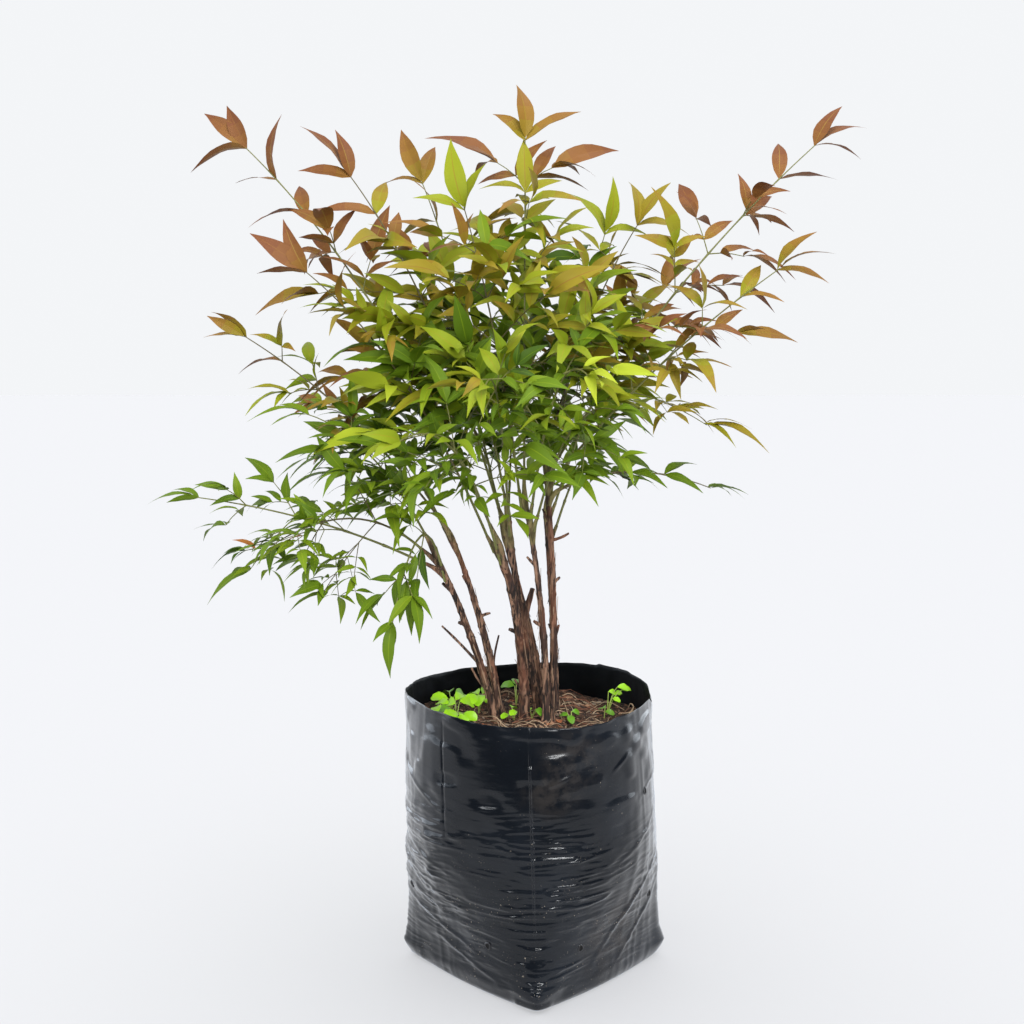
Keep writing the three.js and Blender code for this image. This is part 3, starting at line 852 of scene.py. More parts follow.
def stalk_curve(leaf, cane, order):
    """The source's arch of a stalk, with a leaflet of this model's own length at its end."""
    curve = cane["curve"]
    share = 1 - order * STALK["drop_per_leaf"] / curve.length
    start = curve.at(share)
    target = np.array(cane["tip"], float) + bearing(leaf["heading"], leaf["rise"]) * leaf["reach"]
    leaflet = LEAFLET["length"] * leaf["size"]
    end = target
    for _ in range(STALK["passes"]):
        bend = mix(start, end, STALK["bend_at"]) + UP * 2 * leaf["arch"] * leaf["reach"]
        end = target - unit(end - bend) * leaflet + UP * LEAFLET["tip_fall"] * leaflet
    climb = unit(bend - start)
    if order == 0:
        tilt = math.acos(np.dot(climb, curve.tangent(1)))
        start = start + climb * (CLEARANCE + STALK["frame_radius"] * math.sin(tilt)) / math.cos(tilt)
    else:
        outward = bearing(leaf["heading"], 0)
        lean = max(0, np.dot(curve.tangent(share), outward))
        beside = cane_radius(cane, curve, share) + CLEARANCE
        start = start + outward * (beside + STALK["frame_radius"] * (abs(climb[2]) + lean))
    return Curve(start, bend, end)


def joint_count(stretch, spacing):
    return max(1, round(stretch / spacing))


def leaf_axis(joints, tip, side, key, turn, grow, grow_end):
    """The source's rule: a pair of branches at each joint of an axis, and a leaflet at its end."""
    for joint, (base, forward, rest) in enumerate(joints):
        from_last = len(joints) - 1 - joint
        own_roll = VARIATION["roll"] * wobble(key, DRAW["roll"] + joint)
        across = turned(side, forward, turn + from_last * STALK["roll_per_joint"] + own_roll)
        for hand in (0, 1):
            branch_key = key * KEYS_PER_AXIS + joint * 2 + hand + 1
            own_splay = VARIATION["splay"] * wobble(branch_key, DRAW["splay"])
            splay = math.radians(SIDE_STALK["splay"] + own_splay)
            direction = forward * math.cos(splay) + across * math.sin(splay) * (1 if hand else -1)
            direction = unit(direction + UP * VARIATION["rise"] * wobble(branch_key, DRAW["rise"]))
            grow(base, direction, branch_key, rest)
    grow_end(*tip, key * KEYS_PER_AXIS)


class Crown:
    """The leaflets and stalks of one height of the crown, and what already takes up room in all of it."""

    CELL = 12
    LEAFLET_RADIUS = 0.6
    STALK_RADIUS = 0.8
    taken = {}

    def __init__(self):
        self.leaflets = []
        self.stalks = Piece()
        self.nodes = []
        self.stalk_tint = 0

    @classmethod
    def cell(cls, point):
        return [int(math.floor(value / cls.CELL)) for value in point]

    @classmethod
    def take(cls, points, radius):
        for point in points:
            cls.taken.setdefault(tuple(cls.cell(point)), []).append((point, radius))

    @classmethod
    def is_free(cls, points, radius):
        for point in points:
            near = [(value - 1, value, value + 1) for value in cls.cell(point)]
            for cell in itertools.product(*near):
                for other, size in cls.taken.get(cell, ()):
                    if np.sum((other - point) ** 2) < (radius + size) ** 2:
                        return False
        return True

    def add_stalk(self, points, radii, sides):
        tube(self.stalks, points, radii, sides, self.stalk_tint)
        self.take(points[1::2], self.STALK_RADIUS)

    def add_leaflet(self, base, direction, size, key, tint):
        """Adds a leaflet, turned about its line until it is clear of the others, or else leaves it out."""
        for attempt in range(LEAFLET["tries"]):
            own_key = key + attempt / LEAFLET["tries"]
            normal = leaflet_normal(base, direction, own_key)
            middle = [
                base + size * (direction * share + normal * 0.05 - UP * LEAFLET["tip_fall"] * share**2)
                for share in (0.35, 0.6, 0.85)
            ]
            if self.is_free(middle, LEAFLET["clear"] * size / LEAFLET["length"]):
                self.take(middle, self.LEAFLET_RADIUS)
                self.leaflets.append((base, direction, normal, size, own_key, tint))
                return


def outward_from_crown(base):
    return unit(np.array([base[0] - CROWN_AXIS[0], base[1] - CROWN_AXIS[1], 0.0]))


def leaflet_normal(base, direction, key):
    """The way that a leaflet's upper face looks: up, a little outward and to the front, each its own way."""
    tilt = np.array([wobble(key, DRAW["tilt"] + axis) for axis in range(3)])
    front = FACING["front"] + FACING["front_when_steep"] * max(0, direction[2])
    facing = UP * FACING["up"] + outward_from_crown(base) * FACING["outward"] + FRONT * front
    return across_from(facing + tilt * VARIATION["tilt"], direction)


def levelled(direction):
    """The direction, with most of its fall taken out and a little of its climb."""
    kept = LEVELLED["fall"] if direction[2] < 0 else LEVELLED["climb"]
    return unit(np.array([direction[0], direction[1], direction[2] * kept + LEVELLED["lift"]]))


def pair_direction(base, direction):
    """The leaflets of a pair turn a little outward, and towards level, from their stalk's line."""
    turn = outward_from_crown(base) - UP * direction[2] * LEAFLET["towards_level"]
    return unit(direction + turn * LEAFLET["reach_out"])


def add_end_pair(crown, leaf, base, forward, side, key, tint):
    """The pair of leaflets close under the end leaflet of a leaf's stalk."""
    splay = math.radians(LEAFLET["pair_splay"])
    for hand in (-1, 1):
        direction = pair_direction(base, unit(forward * math.cos(splay) + side * math.sin(splay) * hand))
        grow_leaflet(crown, leaf, base, direction, key + 0.37 * hand, "under_end", tint)


def grow_leaflet(crown, leaf, base, direction, key, place, tint):
    """A leaflet of the length that its place on the leaf gives it. Those at the front are shorter."""
    vary = 1 + VARIATION["length"] * wobble(key, DRAW["length"])
    nearer = mix(LEAFLET["front_share"], 1, float(smooth_step(base[1], *LEAFLET["front"])))
    length = LEAFLET["length"] * leaf["size"] * LEAFLET_SHARE[place] * vary * nearer
    if leaf["rise"] > HANGING_BELOW:
        direction = levelled(direction)
    if base[2] < DEAD["below"] and wobble(key, DRAW["dead"]) > DEAD["above_wobble"]:
        tint = TINT["dead_leaf"]
    crown.add_leaflet(base, direction, length, key, tint)


def spray_tint(base, rest, key):
    """The tint of a spray, warmer the higher and the further out it grows. The cooler tints are darker
    greens, partly painted shade on the low and inner sprays. A few low ones stay pale.
    """
    x, y, height = base
    if LIME["from"] < height < LIME["to"] and wobble(key, DRAW["lime"]) > LIME["above_wobble"]:
        return TINT["lime"]
    outward = math.hypot(x - CROWN_AXIS[0], (y - CROWN_AXIS[1]) * WARMTH["front_share"])
    steps_out = min(max(0, outward - WARMTH["out_from"]) / WARMTH["out_step"], WARMTH["out_most"])
    warmth = (height - WARMTH["height_from"]) / WARMTH["height_step"]
    warmth += steps_out * float(smooth_step(height, *WARMTH["open_air"]))
    warmth += max(0, height - WARMTH["top_from"]) / WARMTH["top_step"]
    warmth += rest / WARMTH["rest_step"] + WARMTH["chance"] * wobble(key, DRAW["warmth"])
    return int(np.clip(round(2 * warmth), WARMTH["coolest"], SHADES - 1))


def side_joints(points, first, spacing):
    """Joints along a side stalk, the last of them close under its end leaflet."""
    start, end = points[0], points[-1]
    length = np.linalg.norm(end - start)
    count = joint_count(length * (LEAFLET["pair_at"] - first), spacing)
    joints = []
    for number in range(count + 1 if length > spacing else 1):
        share = LEAFLET["pair_at"] - (LEAFLET["pair_at"] - first) * number / count
        place = share * (len(points) - 1)
        low = min(int(place), len(points) - 2)
        forward = unit(points[low + 1] - points[low])
        joints.append((mix(points[low], points[low + 1], place - low), forward, length * (1 - share)))
    return joints[::-1]


def arched(start, end, rise, steps):
    """Points along a shallow arc from start to end, which rises over its chord."""
    shares = np.linspace(0, 1, steps)
    return [mix(start, end, share) + UP * rise * 4 * share * (1 - share) for share in shares]


def grow_stem(crown, leaf, base, direction, length, kind, steps):
    """The stem of a side stalk or a twig: its points, once it is added to the crown."""
    end = base + direction * length - UP * leaf["droop"] * length
    points = arched(base, end, kind["arch"] * length, steps)
    crown.add_stalk(points, np.linspace(*kind["radii"], steps), kind["sides"])
    return points


def grow_along(points, key, kind, grow, grow_end):
    """What grows at the joints and at the end of a side stalk or a twig."""
    forward = unit(points[-1] - points[-2])
    joints = side_joints(points, kind["first_joint"], kind["joint_spacing"])
    turn = SIDE_STALK["roll"] * wobble(key, DRAW["turn"])
    leaf_axis(joints, (points[-1], forward), unit(np.cross(forward, UP)), key, turn, grow, grow_end)


def grow_twig(crown, leaf, base, direction, key, rest, tint):
    """A third order of stalk with three or five leaflets, or a single leaflet where there is less room."""
    leaflet = LEAFLET["length"] * leaf["size"]
    vary = 1 + VARIATION["length"] * wobble(key, DRAW["reach"])
    reach = (rest + leaflet) * SIDE_STALK["length_share"] * vary
    if tint < SHADES:
        tint = int(np.clip(tint + round(TWIG["tint_spread"] * wobble(key, DRAW["own_tint"])), 0, SHADES - 1))
    if reach < leaflet * TWIG["shortest"]:
        grow_leaflet(crown, leaf, base, pair_direction(base, direction), key, "single", tint)
        return
    length = reach - leaflet * TWIG["leaflet_share"]
    points = grow_stem(crown, leaf, base, direction, length, TWIG, TWIG["points"])

    def grow_pair(at, way, own_key, _):
        grow_leaflet(crown, leaf, at, pair_direction(at, way), own_key, "twig_pair", tint)

    grow_along(points, key, TWIG, grow_pair, lambda *tip: grow_leaflet(crown, leaf, *tip, "twig_end", tint))


def grow_side_stalk(crown, leaf, base, direction, key, rest):
    """A spray: a side stalk with twigs and leaflets of its own, or a single leaflet."""
    frame_leaflet = LEAFLET["frame_length"] * leaf["size"]
    leaflet = LEAFLET["length"] * leaf["size"]
    vary = 1 + VARIATION["length"] * wobble(key, DRAW["reach"])
    reach = (rest + frame_leaflet) * SIDE_STALK["length_share"] * leaf["spread"] * vary
    tint = spray_tint(base + direction * reach, rest, key)
    if reach < leaflet * SIDE_STALK["shortest"]:
        grow_leaflet(crown, leaf, base, pair_direction(base, direction), key, "on_leaf", tint)
        return
    length = reach + 0.5 * frame_leaflet - leaflet
    points = grow_stem(crown, leaf, base, direction, length, SIDE_STALK, max(4, int(length / POINT_SPACING)))
    grow_along(
        points, key, SIDE_STALK,
        lambda *joint: grow_twig(crown, leaf, *joint, tint),
        lambda *tip: grow_leaflet(crown, leaf, *tip, "end", tint),
    )


def knotted(shares, knots, low, high):
    """Radii that taper from low to high, a little swollen at the knots."""
    radii = []
    for share in shares:
        near = min((abs(share - knot) for knot in knots), default=1)
        radii.append(mix(low, high, share) * (1 + KNOT["height"] * math.exp(-((near / KNOT["width"]) ** 2))))
    return radii


def grow_leaf(crown, boughs, leaf, key):
    """One compound leaf: its bare lower stalk, a bough where it starts at the cane's side, and its sprays."""
    curve = leaf["curve"]
    bare = STALK["bough_share"] if leaf["order"] else 0
    first = mix(bare, 1, STALK["first_joint"])
    count = joint_count(curve.length * (1 - first), STALK["joint_spacing"])
    knots = [mix(first, 1, number / count) for number in range(count)]
    joints = [(curve.at(knot), curve.tangent(knot), curve.length * (1 - knot)) for knot in knots]
    if bare:
        shares = np.linspace(0, bare, 9)
        tube(boughs, [curve.at(share) for share in shares], knotted(shares, [bare], *STALK["radii"]), 7)
    spread = np.linspace(bare, 1, max(8, int(curve.length * (1 - bare) / POINT_SPACING)))
    shares = np.unique(np.concatenate([spread, knots]))
    points = [curve.at(share) for share in shares]
    crown.add_stalk(points, knotted(shares, knots, *STALK["radii"]), 6)
    end, forward = curve.at(1), curve.tangent(1)
    tint = spray_tint(end, END_PAIR["rest"], key)
    side = unit(np.cross(curve.tangent(0.5), UP))
    pair_side = turned(side, forward, leaf["turn"] + STALK["roll_per_joint"])
    steep = smooth_step(forward[2], *END_PAIR["steep"])
    pair_side = unit(mix(pair_side, 2 * np.cross(forward, FRONT), steep))
    under_end = curve.at(1 - END_PAIR["under_end"] / curve.length)
    add_end_pair(crown, leaf, under_end, forward, pair_side, key, tint)
    leaf_axis(
        joints, (end, forward), side, key, leaf["turn"],
        lambda *joint: grow_side_stalk(crown, leaf, *joint),
        lambda *tip: grow_leaflet(crown, leaf, *tip, "end", tint),
    )


# ---------------------------------------------------------------- leaflets as sheets

SHEET = {"rows": 9, "columns": (-1, -0.5, -0.05, 0.05, 0.5, 1)}
SMALL_SHEET = {"rows": 7, "columns": (-1, -0.08, 0.08, 1), "under": 24}
ROUND_SHEET = {"rows": 14, "columns": (-1, -0.55, 0, 0.55, 1)}
# How a leaflet is bent, each value with how far it varies from leaflet to leaflet.
BEND = {
    "twist": 0.35,
    "breadth": (1, 0.12),
    "fold": (0.2, 0.16),
    "wave": 0.05,
    "waves": 11,
    "curl": (1.1, 1.3),
    "crown": 0.2,
    "least_half": 0.12,
}


def outline(shares, base_power, tip_power):
    """The half width along a leaflet, 1 where it is widest."""
    widest = base_power / (base_power + tip_power)
    peak = widest**base_power * (1 - widest) ** tip_power
    return shares**base_power * (1 - shares) ** tip_power / peak


def face_tints(shade, key, rows, columns):
    """A leaflet's rib is a shade lighter than its blade, and a bronze leaflet is greener towards its foot."""
    tints = np.full((rows - 1, columns - 1), shade)
    middle = columns // 2 - 1
    if TINT["olive_warmer"] <= shade < SHADES:
        greener = 3 if wobble(key, DRAW["green_foot"]) > 0 else 2
        for row in range(min(2 * greener, rows - 2)):
            tints[row] = shade - greener + row // 2
        tints[: rows - 2, middle] = TINT["rib_bronze"] if wobble(key, DRAW["bronze_rib"]) > 0 else shade - 2
    elif shade < SHADES:
        tints[: rows - 1, middle] = min(shade + 2, TINT["rib_green"])
    return tints.reshape(-1)


def leaflet_sheet(piece, base, direction, normal, length, key, tint, form, sheet):
    """A leaflet folded a little along its rib, arched, and waved along its edges."""
    rows = sheet["rows"]
    out = np.linspace(0.004, 0.998, rows) ** 0.92
    across = np.array(sheet["columns"])
    side = np.cross(direction, normal)
    twist = BEND["twist"] * wobble(key, DRAW["twist"]) * out
    half = outline(out, *form["outline"]) * form["breadth"] * length / 2 * varied("breadth", key)
    half = np.maximum(half, BEND["least_half"])
    fold = varied("fold", key)
    wave = BEND["wave"] * np.sin(out * BEND["waves"] + 3 * wobble(key, DRAW["wave"]))
    curl = LEAFLET["curl"] * varied("curl", key)
    spine = base + np.outer(out * length, direction)
    spine = spine + np.outer(length * (BEND["crown"] * out * (1 - out) - curl * out**2), normal)
    spine = spine - np.outer(form["tip_fall"] * length * out**2, UP)
    sides = circle(twist, side, normal)
    faces = circle(twist, normal, -side)
    spread = half[:, None] * across
    rise = half[:, None] * (fold * np.abs(across) + wave[:, None] * across * np.abs(across) * 2)
    vertices = spine[:, None] + spread[..., None] * sides[:, None] + rise[..., None] * faces[:, None]
    tints = face_tints(tint, key, rows, len(across))
    piece.add(vertices.reshape(-1, 3), grid_faces(rows, len(across), False), tints)


def varied(part, key):
    """A leaflet's own value of a part of its bend."""
    middle, spread = BEND[part]
    return middle + spread * wobble(key, DRAW[part])


def crown_leaflets(leaflets):
    piece = Piece()
    for leaflet in leaflets:
        length = leaflet[3]
        leaflet_sheet(piece, *leaflet, LEAFLET, SMALL_SHEET if length < SMALL_SHEET["under"] else SHEET)
    return piece


# ---------------------------------------------------------------- sheaths

SHEATH = {
    "below": 13,
    "above": 17,
    "most_of_bough": 0.9,
    "inset": 0.5,
    "loose": 1.2,
    "swell": 0.3,
    "steps": 9,
    "sides": 12,
}


def sheath(piece, cane, leaf):
    """The clasping foot of a stalk: a shell that runs from round its cane to round the stalk."""
    curve = cane["curve"]
    stalk = leaf["curve"]
    share = 1 - leaf["order"] * STALK["drop_per_leaf"] / curve.length
    low = share - SHEATH["below"] / curve.length
    high = min(SHEATH["above"] / stalk.length, SHEATH["most_of_bough"] * STALK["bough_share"])
    round_cane = cane_radius(cane, curve, low) - SHEATH["inset"]
    round_stalk = STALK["radii"][0] * SHEATH["loose"]
    centres = []
    radii = []
    for up in np.linspace(0, 1, SHEATH["steps"]):
        ease = up * up * (3 - 2 * up)
        on_cane = curve.at(min(mix(low, share, up * 1.4), 1))
        centres.append(mix(on_cane, stalk.at(high * up), ease))
        swelling = SHEATH["swell"] * math.sin(math.pi * min(1, up * 1.3)) ** 2
        radii.append(mix(round_cane, round_stalk, ease) * (1 + swelling))
    tube(piece, centres, radii, SHEATH["sides"])


# ---------------------------------------------------------------- the bag

FILM = {
    "around": 340,
    "rows": 246,
    "thickness": 0.5,
    "inner_rows": 12,
    "inner_to": 218,
    "underside": (0.01, 0.3, 0.6, 0.82),
    "foot_turns": 8,
    "lumps_at": 112,
}
# The corners that the filled bag rounds off, most at the front, and more above the foot.
ROUNDING = {"foot": 2.5, "above": 5, "front": 13, "front_width": 45, "grows": (8, 70), "offset": 0.3}

# Wrinkles that run round the film: (length, spacing, how far they stand out, sharpness).
WRINKLES = [(46, 7.6, 2.1, 3), (26, 4.2, 1.4, 2.6), (14, 2.6, 0.8, 2.2)]
# They are strong low down, most at the waist, and less so to the right. They drift up and down.
WRINKLED = {
    "low": (135, 212),
    "above": 0.12,
    "waist": 125,
    "waist_spread": 42,
    "off_waist": 0.5,
    "right": (20, 85),
    "right_less": 0.45,
    "drift": 5.6,
}
# The film's broad lumps: their width, their height and a seed.
FILM_LUMPS = {"drift": (60, 45, 21), "patches": (46, 26, 13), "sags": (46, 60, 16), "pressed": (18, 12, 14)}
PATCH_EDGE = (-0.45, 0.45)
# Upright folds at the two sides.
SIDE_FOLDS = {"from": (66, 106), "width": 8, "length": 85, "seed": 15, "sharpness": 2, "height": 0.5}

# Creases in the film: (heading, height) at both ends, half width, and how far each stands out.
CREASES = [
    ((-133, 250), (-131, 152), 0.9, -1.3),
    ((-90.5, 268), (-90, 50), 0.8, 1.9),
    ((-172, 205), (-128, 168), 2.2, 0.7),
    ((-176, 140), (-126, 112), 2.2, 0.8),
    ((-165, 100), (-118, 78), 2.0, 0.8),
    ((-178, 72), (-112, 34), 2.4, 1.1),
    ((-160, 46), (-104, 16), 2.2, 1.0),
    ((-4, 128), (-58, 28), 2.8, 1.4),
    ((-2, 88), (-42, 14), 2.2, 1.1),
    ((-12, 160), (-52, 122), 2.2, 0.8),
    ((-6, 200), (-34, 176), 2.0, 0.6),
    ((-38, 226), (-52, 208), 1.6, 0.8),
    ((-70, 216), (-84, 204), 1.8, 0.7),
    ((-56, 140), (-90, 134), 1.3, 1.2),
    ((-52, 124), (-86, 121), 1.2, 1.1),
    ((-50, 112), (-80, 108), 1.2, 1.1),
    ((-58, 38), (-86, 34), 1.2, 1.1),
    ((-60, 31), (-88, 29), 1.0, 1.0),
    ((-66, 12), (-84, 9), 1.2, 0.9),
    ((-94, 148), (-122, 150), 1.2, 0.9),
    ((-98, 122), (-128, 124), 1.2, 0.8),
    ((-94, 92), (-124, 94), 1.2, 0.8),
    ((-96, 40), (-116, 44), 1.2, 0.9),
]
# Headings of the two upright creases, and how far the closer vertices spread to each side.
CLOSE_TOGETHER = [(-132, 1.6), (-90.2, 1)]
# The tab of film folded flat across the front corner at the floor: its headings, height and depth.
TAB = {"from": -101, "to": -83, "height": 9, "out": 2.2}

FILM_GRAIN = {"Stretch": (1, 1, 3), "Scale": 105, "Detail": 4, "Depth": 0.0006, "Strength": 0.4}
FILM_GLOSS = {
    "Specular_IOR_Level": 0.16,
    "Coat_Roughness": 0.14,
    "Sheen_Weight": 0.6,
    "Sheen_Roughness": 0.2,
    "Sheen_Tint": (0.62, 0.79, 1, 1),
}
FILM_ROUGHNESS = {"smooth": 0.12, "worn": 0.14, "dusty": 0.5}
# The film shines more where it is seen at a slant.
FILM_COAT = {"straight_on": 0.34, "slanted": 1.0, "slant": (0.28, 0.72)}
FILM_COLORS = {
    "clean": (0.0075, 0.0098, 0.014),
    "haze": (0.03, 0.037, 0.05),
    "brown": (0.085, 0.07, 0.06),
    "crumbs": (0.42, 0.36, 0.29),
    # the inside is darker than the clean outer film: painted shade inside the bag
    "inside": (0.003, 0.0045, 0.006),
}
# Where settled dust shows most: the middle of each patch, and its reach to the sides and up, in metres.
DUST_PATCHES = [
    ((0.03, -0.108, 0.226), (0.034, 0.034)),
    ((0.012, -0.111, 0.2), (0.03, 0.026)),
    ((0.085, -0.08, 0.05), (0.05, 0.05)),
]
CRUMBS_BELOW = (0.17, 0.12)  # the heights, in metres, over which the strewn crumbs come in


def bag_radius(angle, z):
    """The source's outer radius of the filled bag at an angle and a height, with its corners rounded."""
    mouth = BAG["girth"] / (2 * math.pi)
    from_corner = np.abs((angle + 45) % 90 - 45)
    front = np.exp(-(((angle + 90) / ROUNDING["front_width"]) ** 2))
    above = mix(ROUNDING["above"], ROUNDING["front"], front)
    rounding = mix(ROUNDING["foot"], above, smooth_step(z, *ROUNDING["grows"]))
    rounded = np.hypot(from_corner, rounding) - rounding * ROUNDING["offset"]
    square = BAG["girth"] / 8 / np.cos(np.radians(45 - np.minimum(rounded, 45)))
    squareness = BAG["squareness"] * (1 - smooth_step(z, BAG["square_up_to"], BAG["round_from"]))
    ear_up = np.maximum(0, 1 - np.abs(z - BAG["ear_height"]) / BAG["ear_height"])
    ear = BAG["ear_reach"] * ear_up * np.maximum(0, 1 - from_corner / BAG["ear_half_width"])
    bulge = BAG["bulge"] * np.sin(math.pi * np.minimum(z, BAG["height"]) / BAG["height"])
    return mix(mouth, square, squareness) + bulge + ear


def crease_relief(angle, z, crease):
    """How far one crease stands out at each point, fading towards its ends."""
    (first, low), (last, high), width, height = crease
    arc = math.radians(1) * BAG["girth"] / (2 * math.pi)
    start = np.array([first * arc, low])
    run = np.array([last * arc, high]) - start
    beside, above = np.broadcast_arrays(((angle - first + 180) % 360 - 180) * arc, z - low)
    apart = np.stack([beside, above], axis=-1)
    share = np.clip(apart @ run / (run @ run), 0, 1)
    off = apart - share[..., None] * run
    fade = np.sin(math.pi * np.clip(share, 0.06, 0.94))
    return height * fade * np.exp(-np.sum(off**2, axis=-1) / width**2)


def film_relief(angle, z):
    """How far the film stands out from the filled bag's plain shape."""
    x, y = level_place(angle, FILM["lumps_at"])
    form = {
        name: lumps(x / width, y / width, z / height, seed)
        for name, (width, height, seed) in FILM_LUMPS.items()
    }
    low = 1 - smooth_step(z, *WRINKLED["low"])
    at_waist = np.exp(-(((z - WRINKLED["waist"]) / WRINKLED["waist_spread"]) ** 2))
    strength = mix(WRINKLED["above"], 1, low) * mix(WRINKLED["off_waist"], 1, at_waist)
    strength = strength * (1 - WRINKLED["right_less"] * smooth_step(x, *WRINKLED["right"]))
    strength = strength * mix(0.3, 1, smooth_step(form["patches"], *PATCH_EDGE))
    drifted = z + WRINKLED["drift"] * form["drift"]
    relief = 0.7 * form["sags"] - 0.9 + mix(1.3, 0.3, low) * smooth_step(form["pressed"], *PATCH_EDGE)
    for number, (length, spacing, depth, sharpness) in enumerate(WRINKLES):
        wrinkles = ridges(x / length, y / length, drifted / spacing, 11 + number, sharpness)
        relief = relief + depth * strength * wrinkles
    at_side = SIDE_FOLDS["height"] * smooth_step(np.abs(x), *SIDE_FOLDS["from"])
    wide, upright = SIDE_FOLDS["width"], z / SIDE_FOLDS["length"] + 0.32 * form["drift"]
    folds = ridges(x / wide, y / wide, upright, SIDE_FOLDS["seed"], SIDE_FOLDS["sharpness"])
    relief = relief + at_side * folds
    for crease in CREASES:
        relief = relief + crease_relief(angle, z, crease)
    folded = smooth_step(angle, TAB["from"], TAB["from"] + 1)
    folded = folded * (1 - smooth_step(angle, TAB["to"] - 1, TAB["to"]))
    tab = TAB["out"] * folded * (1 - smooth_step(z, TAB["height"] - 2, TAB["height"]))
    return (relief + tab) * smooth_step(z, 0, 5)


# The cut rim: frayed in two sizes, each with a seed, lower from a step on the far side, folded down at the
# right, and leaning out where it has been handled. A place is a heading and how far it spreads.
RIM = {
    "frayed": ((3.5, 1.04, 31), (14, 0.28, 32)),
    "step": {"down": 1.8, "from": (25, 31), "to": (49, 52)},
    "folded_down": {"depth": 9, "at": (-3, 8)},
    "above_height": 2,
    "flare_right": {"out": 1.6, "at": (3, 17)},
    "flare_left": {"out": 2.2, "at": (184, 13)},
    "flare_waves": (2.5, 1.5, 33),
    "flares": (222, 262),
    "rises_from": 225,
    "rounded": 0.15,
}


def round_rim(angle, waves):
    """Lumps that run round the rim."""
    fineness, height, seed = waves
    return height * lumps(*level_place(angle, fineness), 0, seed)


def rim_lift(angle):
    """How far the cut edge rises above the bag's height."""
    lift = RIM["above_height"] + BAG["rim_wave"] * np.sin(np.radians(2 * angle + BAG["rim_turn"]))
    for waves in RIM["frayed"]:
        lift = lift + round_rim(angle, waves)
    step = RIM["step"]
    lift = lift + step["down"] * (smooth_step(angle, *step["from"]) - smooth_step(angle, *step["to"]))
    middle, spread = RIM["folded_down"]["at"]
    return lift - RIM["folded_down"]["depth"] * np.exp(-(((angle - middle) / spread) ** 4))


def rim_flare(angle, z):
    """The edge leans out where the film has been handled, most at the right and the left."""
    flare = round_rim(angle, RIM["flare_waves"])
    for side, heading in (("flare_right", angle), ("flare_left", (angle + 360) % 360)):
        middle, spread = RIM[side]["at"]
        flare = flare + RIM[side]["out"] * np.exp(-(((heading - middle) / spread) ** 2))
    return flare * smooth_step(z, *RIM["flares"])


def bag_point(angle, z, inwards=0):
    """A point of the film. z counts from the floor to the rim before the rim's own rise."""
    lifted = z + rim_lift(angle) * smooth_step(z, RIM["rises_from"], BAG["height"])
    radius = bag_radius(angle, z) + film_relief(angle, z) + rim_flare(angle, z) - inwards
    x, y = level_place(angle, radius)
    return np.stack([x + lean_at(z), y, lifted], axis=-1)


def lean_at(z):
    """How far the bag leans to the right at a height."""
    return BAG["mouth_shift"] * z / BAG["height"]


def film_angles():
    """The headings of the film's vertices, closer together at its two upright creases."""
    angles = np.linspace(-180, 180, FILM["around"], endpoint=False)
    shares = np.array([-0.75, -0.5, -0.25, 0.25, 0.5, 0.75])
    close = [heading + shares * spread for heading, spread in CLOSE_TOGETHER]
    return np.unique(np.concatenate([angles, *close]))


def film_bag():
    """The whole film: its underside, its wall, the cut rim, and the inside down to the growing medium."""
    angles = film_angles()
    rows = [
        bag_point(angles, 0) * np.array([share * BAG["foot_share"], share * BAG["foot_share"], 0])
        for share in FILM["underside"]
    ]
    for quarter in np.linspace(0, math.pi / 2, FILM["foot_turns"]):
        z = BAG["ear_height"] * (1 - math.cos(quarter))
        share = mix(BAG["foot_share"], 1, math.sin(quarter))
        lean = RIGHT * lean_at(z)
        rows.append((bag_point(angles, z) - lean) * np.array([share, share, 1]) + lean)
    for z in np.linspace(BAG["ear_height"], BAG["height"], FILM["rows"])[1:]:
        rows.append(bag_point(angles, z))
    rows.append(bag_point(angles, BAG["height"] + RIM["rounded"], FILM["thickness"] / 2))
    for z in np.linspace(BAG["height"], FILM["inner_to"], FILM["inner_rows"]):
        rows.append(bag_point(angles, z, FILM["thickness"]))
    inside = np.arange(len(rows) - 1) >= len(rows) - FILM["inner_rows"]
    piece = Piece()
    faces = grid_faces(len(rows), len(angles), True)
    piece.add(np.concatenate(rows), faces, np.repeat(inside.astype(int), len(angles)))
    # the inside's darker colour is painted shade
    inner = surface("film_inside", 0.5, FILM_GRAIN, FILM_COLORS["inside"], Specular_IOR_Level=0.2)[0]
    return piece.build("film_bag", [film_material(), inner], "film", ["bag"])


def dusty_patches(tree, place):
    """A mask of the dusty patches, softly edged."""
    mask = 0.0
    for middle, (reach, rise) in DUST_PATCHES:
        offset = vector_node(tree, "SUBTRACT", place, middle)
        scaled = vector_node(tree, "MULTIPLY", offset, (1 / reach, 1 / reach, 1 / rise))
        far = between(tree, vector_node(tree, "LENGTH", scaled), 0.25, 1.2)
        mask = math_node(tree, "MAXIMUM", mask, math_node(tree, "SUBTRACT", 1.0, far))
    return mask


